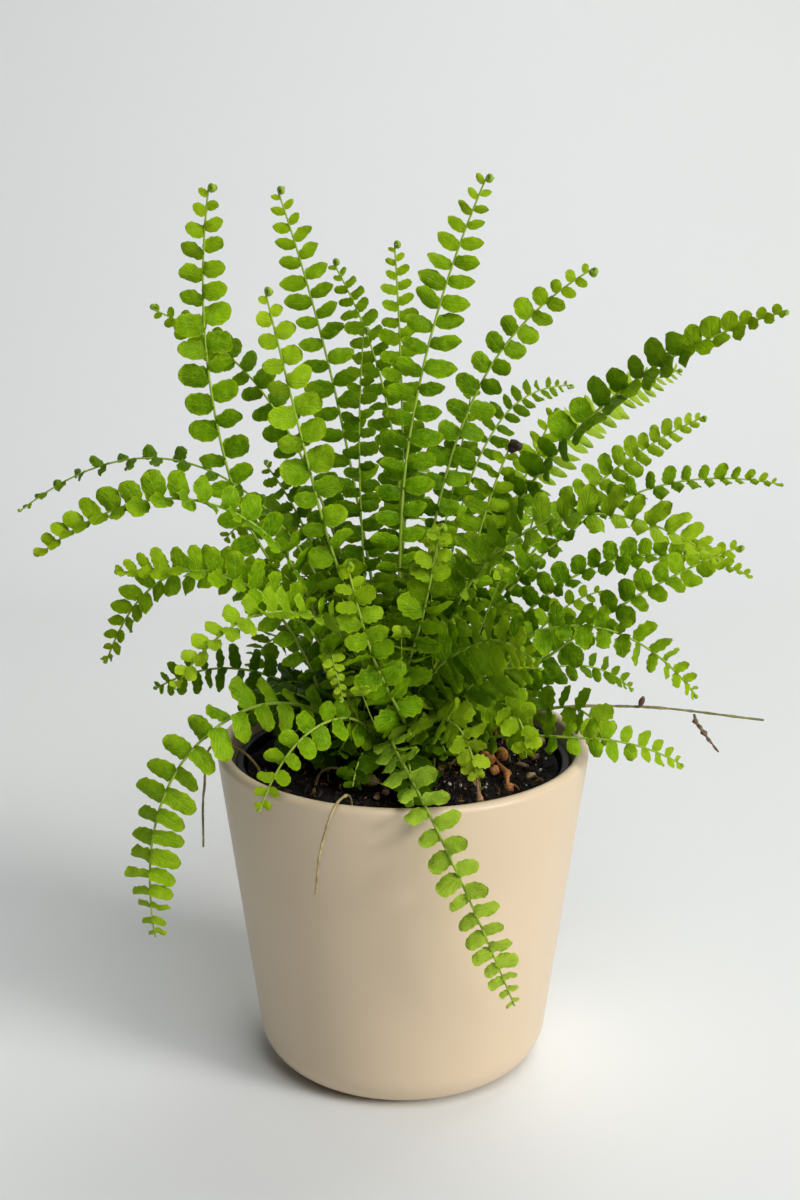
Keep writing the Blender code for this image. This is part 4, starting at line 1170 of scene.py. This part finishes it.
# Young shoots: slim ribs that stand in front of the crown, each with a tuft of lime leaflets at its tip
SHOOTS = ((-0.6, -50, 175), (11.7, -45, 207), (32.3, -48, 194), (-14, -54, 156))
SHOOT_LEAFLET = (3.8, 3.2, 2.8)  # length, width and spacing
SHOOT_BARE = 0.93
SHOOT_SEED = 601
SHOOT_FOOT_Y = -12.0
lines = []
for x, y, z in SHOOTS:
    foot = (0.3 * x, SHOOT_FOOT_Y, soil_height(0.3 * x, SHOOT_FOOT_Y))
    line = rib_curve(foot, (0.8 * x, 0.8 * y, 0.25 * foot[2] + 0.75 * z), (x, y, z))[EVERY_FOURTH]
    lines.append((line, frames_along(line, FRONT)[1], 0.0))
piece = grow("young_shoots", lines, ROUND, SHOOT_LEAFLET, "lime", FRONT, SHOOT_BARE, UNRULY, SHOOT_SEED)

# The runners and the dead stalk
# Thin runners creep over the soil and hang over the rim, covered with short reddish hairs. The
# dead stalk has lost its leaflets but for a curled one and a withered bit that hangs from it.

STRAND_SAMPLES = 10
STRAND_IN_SOIL = 7.0
STRAND_SIDES = 8
STRAND_RINGS = 120
HAIR_LENGTH = 0.9
HAIR_RADIUS = 0.07  # as a share of its length
HAIR_LEAN = 0.7  # towards the strand's tip
LUMP_MM = 2.5
STRAND_GRAIN_MM, STRAND_ROUGHNESS = 3.0, 0.7


def strand_line(points):
    """A smooth line from the foot of a strand in the soil through its points, as the solid has it."""
    (x, y), *others = points
    ground = soil_height(x, y)
    knots = [np.array((x, y, ground))] + [np.array(p, dtype=float) for p in others]
    path = [np.array((x, y, ground - STRAND_IN_SOIL)), knots[0]]
    leave = np.array((0.0, 0.0, np.linalg.norm(knots[1] - knots[0])))
    for start, end, after in zip(knots, knots[1:], [*knots[2:], knots[-1]]):
        arrive = unit(after - start) * np.linalg.norm(end - start)
        path += list(hermite(start, end, leave, arrive, STRAND_SAMPLES)[1:])
        leave = arrive
    return np.array(path)


# Geometry Nodes for a hairy runner: a slightly uneven tube along the line, with hairs round it
running, given = new_tree(
    "Runner",
    Geometry="Line",
    Float="Radius, Hair length",
    Int="Hairs, Seed",
    Object="Hair",
    Material="Surface, Hair surface",
)
line = add(running, "GeometryNodeMeshToCurve", {"Mesh": given["Line"]})
lumps = {"Vector": add(running, "GeometryNodeInputPosition"), "Scale": 1 / (LUMP_MM * MM), "Detail": 1.0}
lumps = add(running, RANGE, (add(running, NOISE, lumps), 0.3, 0.7, 0.7, 1.2))
thin = add(running, RANGE, (add(running, "GeometryNodeSplineParameter"), 0.0, 1.0, 1.0, 0.6))
radius = add(running, MATH, (lumps, thin), operation="MULTIPLY")
radius = add(running, MATH, (radius, given["Radius"]), operation="MULTIPLY")
fine = add(running, "GeometryNodeResampleCurve", {"Curve": line, "Count": STRAND_RINGS})
spot = add(running, RANDOM, {2: 0.1, 3: 1.0, "Seed": given["Seed"]}, output=1)
position, tangent = add(running, "GeometryNodeSampleCurve", {"Curves": fine, 2: spot}).node.outputs[1:3]
seed = add(running, MATH, (given["Seed"], 1.0), operation="ADD")
free = {0: (-1.0, -1.0, -1.0), 1: (1.0, 1.0, 1.0), "Seed": seed}
free = add(running, RANDOM, free, data_type="FLOAT_VECTOR")
out = add(running, VECTOR, (tangent, free), operation="CROSS_PRODUCT")
out = add(running, VECTOR, (out,), operation="NORMALIZE")
ahead = add(running, VECTOR, {0: tangent, "Scale": HAIR_LEAN}, operation="SCALE")
out = add(running, VECTOR, (out, ahead), operation="ADD")
turn = add(running, "FunctionNodeAlignRotationToVector", {"Vector": out}, axis="Z")
points = add(running, "GeometryNodePoints", {"Count": given["Hairs"], "Position": position})
hair = add(running, "GeometryNodeObjectInfo", {"Object": given["Hair"]}, output="Geometry")
hairs = {"Points": points, "Instance": hair, "Rotation": turn, "Scale": given["Hair length"]}
hairs = surfaced(add(running, "GeometryNodeInstanceOnPoints", hairs), given["Hair surface"])
finish_tree(surfaced(tube(fine, radius, STRAND_SIDES), given["Surface"]), hairs)

shape = bmesh.new()
bmesh.ops.create_cone(shape, cap_ends=True, segments=3, radius1=HAIR_RADIUS, radius2=0.0, depth=1.0)
bmesh.ops.translate(shape, verts=shape.verts, vec=(0.0, 0.0, 0.5))
hair = bpy.data.objects.new("hair", mesh_from(shape, "hair", smooth=False))

# Strands: name, where they leave the soil and the points that they pass, radius, hairs, slot, tones
STALK = ((20, 2), (44, 6, 126), (84, 10, 127), (128, 10, 122))
OVER_FRONT = ((-17, -42), (-20, -62, 121), (-26, -69, 108), (-28, -71, 92))
OVER_LEFT = ((-48, -12), (-63, -11, 121), (-69, -11, 104), (-70, -10, 82))
ON_SOIL = ((-30, -18), (-24, -24, 117), (-8, -28, 113), (4, -25, 112))
STRANDS = (
    ("dry_stalk", STALK, 0.7, 60, "dry_stem", "#6c6a34", "#8e8a52"),
    ("runner_front", OVER_FRONT, 0.6, 420, "runner_stem", "#8a7a48", "#bcae7a"),
    ("runner_left", OVER_LEFT, 0.6, 420, "runner_stem", "#7c6f3c", "#a29a62"),
    ("soil_runner", ON_SOIL, 0.5, 260, "runner_stem", "#8a7348", "#b09a6e"),
)
hair_finish = bit_material("Reddish stem hair", "#6a4a28", "#94704a", 1.0, 0.8)
for number, (name, points, radius, hairs, slot, dark, light) in enumerate(STRANDS):
    values = {
        "Radius": MM * radius,
        "Hairs": hairs,
        "Hair length": MM * HAIR_LENGTH,
        "Seed": 40 + number,
        "Hair": hair,
        "Surface": bit_material(name, dark, light, STRAND_GRAIN_MM, STRAND_ROUGHNESS),
        "Hair surface": hair_finish,
    }
    draft = new_piece(name, line_mesh(name, strand_line(points)))
    piece = plain(with_tree(draft, running, values), f"{name}_hairy")
    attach(piece, "root")
    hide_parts(name)

# The dead bits
# A curled dead leaflet and a withered bit on the dry stalk, a dark bead-like curl at the tip of
# one frond, and a few orange-brown leaflets and a stem's end that lie where they fell.

DEAD_PLACE = Vector((83.8, 9.2, 127.2))
DEAD_LENGTH, DEAD_WIDTH = 4.6, 4.0
DEAD_ROWS, DEAD_COLUMNS = 9, 6
DEAD_BODY = 0.22  # half the thickness
DEAD_CURL, DEAD_LIFT = math.radians(230), 0.25
DEAD_TURN, DEAD_TILT = math.radians(200), math.radians(35)
DEAD_CRUMPLE = 0.5  # how far it is crumpled, in mm
CRUMPLE_SEED = 24

# A dry leaflet as a thin shell that has rolled up along its length, with its stalk end down
spin = Matrix.Rotation(DEAD_TURN, 3, "Z") @ Matrix.Rotation(DEAD_TILT, 3, "X")
noise.seed_set(CRUMPLE_SEED)
shape = bmesh.new()
sides = []
for body in (DEAD_BODY, -DEAD_BODY):
    radius = DEAD_WIDTH / DEAD_CURL + body
    grid = {}
    for row in range(DEAD_ROWS + 1):
        v = row / DEAD_ROWS
        narrow = max(math.sin(math.pi * v) ** 0.6, 0.12)
        for column in range(DEAD_COLUMNS + 1):
            bend = DEAD_CURL * (column / DEAD_COLUMNS - 0.5)
            x, z = radius * math.sin(bend) * narrow, radius * (1 - math.cos(bend))
            spot = Vector((x, DEAD_LENGTH * v, z + DEAD_LIFT * DEAD_LENGTH * v**2 - body))
            spot += DEAD_CRUMPLE * noise.noise_vector(spot * 0.6)
            grid[row, column] = shape.verts.new((DEAD_PLACE + spin @ spot) * MM)
    sides.append(grid)
upper, lower = sides
for row in range(DEAD_ROWS):
    for column in range(DEAD_COLUMNS):
        spots = [(row, column), (row, column + 1), (row + 1, column + 1), (row + 1, column)]
        shape.faces.new([upper[spot] for spot in spots])
        shape.faces.new([lower[spot] for spot in reversed(spots)])
edge = [(0, column) for column in range(DEAD_COLUMNS)] + [(row, DEAD_COLUMNS) for row in range(DEAD_ROWS)]
edge += [(DEAD_ROWS - row, DEAD_COLUMNS - column) for row, column in edge]
for here, after in zip(edge, edge[1:] + edge[:1]):
    shape.faces.new((upper[here], lower[here], lower[after], upper[after]))
bmesh.ops.recalc_face_normals(shape, faces=shape.faces)
grey_brown = bit_material("Dry brown leaflet", "#4a3426", "#76594a", 1.2, 0.85)
piece = new_piece("curled_dead_leaflet", mesh_from(shape, "curled_dead_leaflet"), [grey_brown])
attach(piece, "root")

# Crumpled lumps: name, place, length, width and thickness, roughness of shape, seed, finish
# The fallen leaflets' orange is partly their own colour and partly painted light, brightened where the fronds
# above shade them
orange_brown = bit_material("Dry orange leaflet", "#cc7430", "#fcbc78", 0.9, 0.75)
dark_dry = bit_material("Dark dry curl", "#1c1510", "#4a3a2c", 0.8, 0.85)
FALLEN = (
    ("fallen_leaflet_left", (29.5, 0.8, 110.9), (6.2, 4.4, 5.6), 0.32, 2.0, orange_brown),
    ("fallen_leaflet_right", (35.1, 4.5, 111.2), (4.0, 3.2, 5.6), 0.32, 5.0, orange_brown),
    ("fallen_leaflet_low", (31.8, -6.6, 109.3), (3.8, 3.2, 3.8), 0.32, 8.0, orange_brown),
    ("fallen_leaflet_back", (34.6, 32.9, 109.3), (2.8, 1.8, 2.4), 0.32, 11.0, orange_brown),
    ("dark_bead", tips["centre_bead"], (4.2, 4.0, 4.2), 0.8, 5.0, dark_dry),
)
for name, place, size, rough, seed, finish in FALLEN:
    piece = large_bit(name, place, size, rough, seed, finish)
    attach(piece, "root")

# Withered bits: name, whether it hangs, path as points with their width in mm, tones
HANGING_BIT = (
    (103.2, 10, 124.2, 0.7), (103.6, 10, 122.6, 1.0), (103.5, 10.2, 121.6, 2.1), (104.6, 9.8, 120.6, 1.0),
    (105.4, 10.2, 119.4, 2.3), (106.2, 9.8, 118.4, 1.1), (106.9, 10.2, 117.2, 1.9), (108.0, 9.9, 115.8, 0.8),
    (108.8, 10.1, 114.6, 1.4), (110.2, 10, 112.9, 0.6), (111.4, 10, 111.2, 0.9), (112.6, 10, 109.9, 0.5),
)
HANGING_TIP = (
    (24.0, -49.0, 124.5, 0.5), (24.3, -50.0, 121.5, 0.7), (24.6, -50.6, 119.0, 1.1),
    (24.8, -51.2, 117.0, 2.6), (25.0, -51.6, 115.2, 2.2), (25.2, -52.0, 113.8, 0.9),
)
LYING_END = (
    (32.9, 2.6, 110.0, 1.0), (33.8, -0.2, 109.3, 1.2), (35.0, -4.6, 109.1, 1.8),
    (36.4, -8.1, 109.0, 3.2), (36.0, -11.8, 108.9, 2.4), (35.9, -14.7, 108.4, 1.3),
    (36.2, -17.4, 108.3, 1.7), (36.6, -19.4, 108.2, 3.8), (36.4, -21.2, 107.8, 2.6),
)
WITHERED = (
    ("withered_bit", True, HANGING_BIT, "#4a3826", "#8a7458"),
    ("withered_tip", True, HANGING_TIP, "#6a4c34", "#b08a64"),
    ("dry_stem_end", False, LYING_END, "#c07034", "#f2b070"),
)
WITHERED_SIDES = 8
RAGGED = 0.7
for number, (name, hangs, path, dark, light) in enumerate(WITHERED):
    shape = bmesh.new()
    rings = []
    for *place, width in path:
        rings.append([])
        for side in range(WITHERED_SIDES):
            turn = 2 * math.pi * side / WITHERED_SIDES
            out = Vector((math.cos(turn), math.sin(turn), 0.4 * math.cos(turn + number)))
            out = out if hangs else out.xzy
            ragged = 1.0 + RAGGED * noise.noise(Vector(place) * 0.9 + out * 2.0)
            rings[-1].append(shape.verts.new((Vector(place) + 0.5 * width * ragged * out) * MM))
    skin(shape, rings)
    shape.faces.new(rings[0])
    shape.faces.new(rings[-1])
    bmesh.ops.recalc_face_normals(shape, faces=shape.faces)
    piece = new_piece(name, mesh_from(shape, name), [bit_material(name, dark, light, 0.8, 0.85)])
    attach(piece, "root")
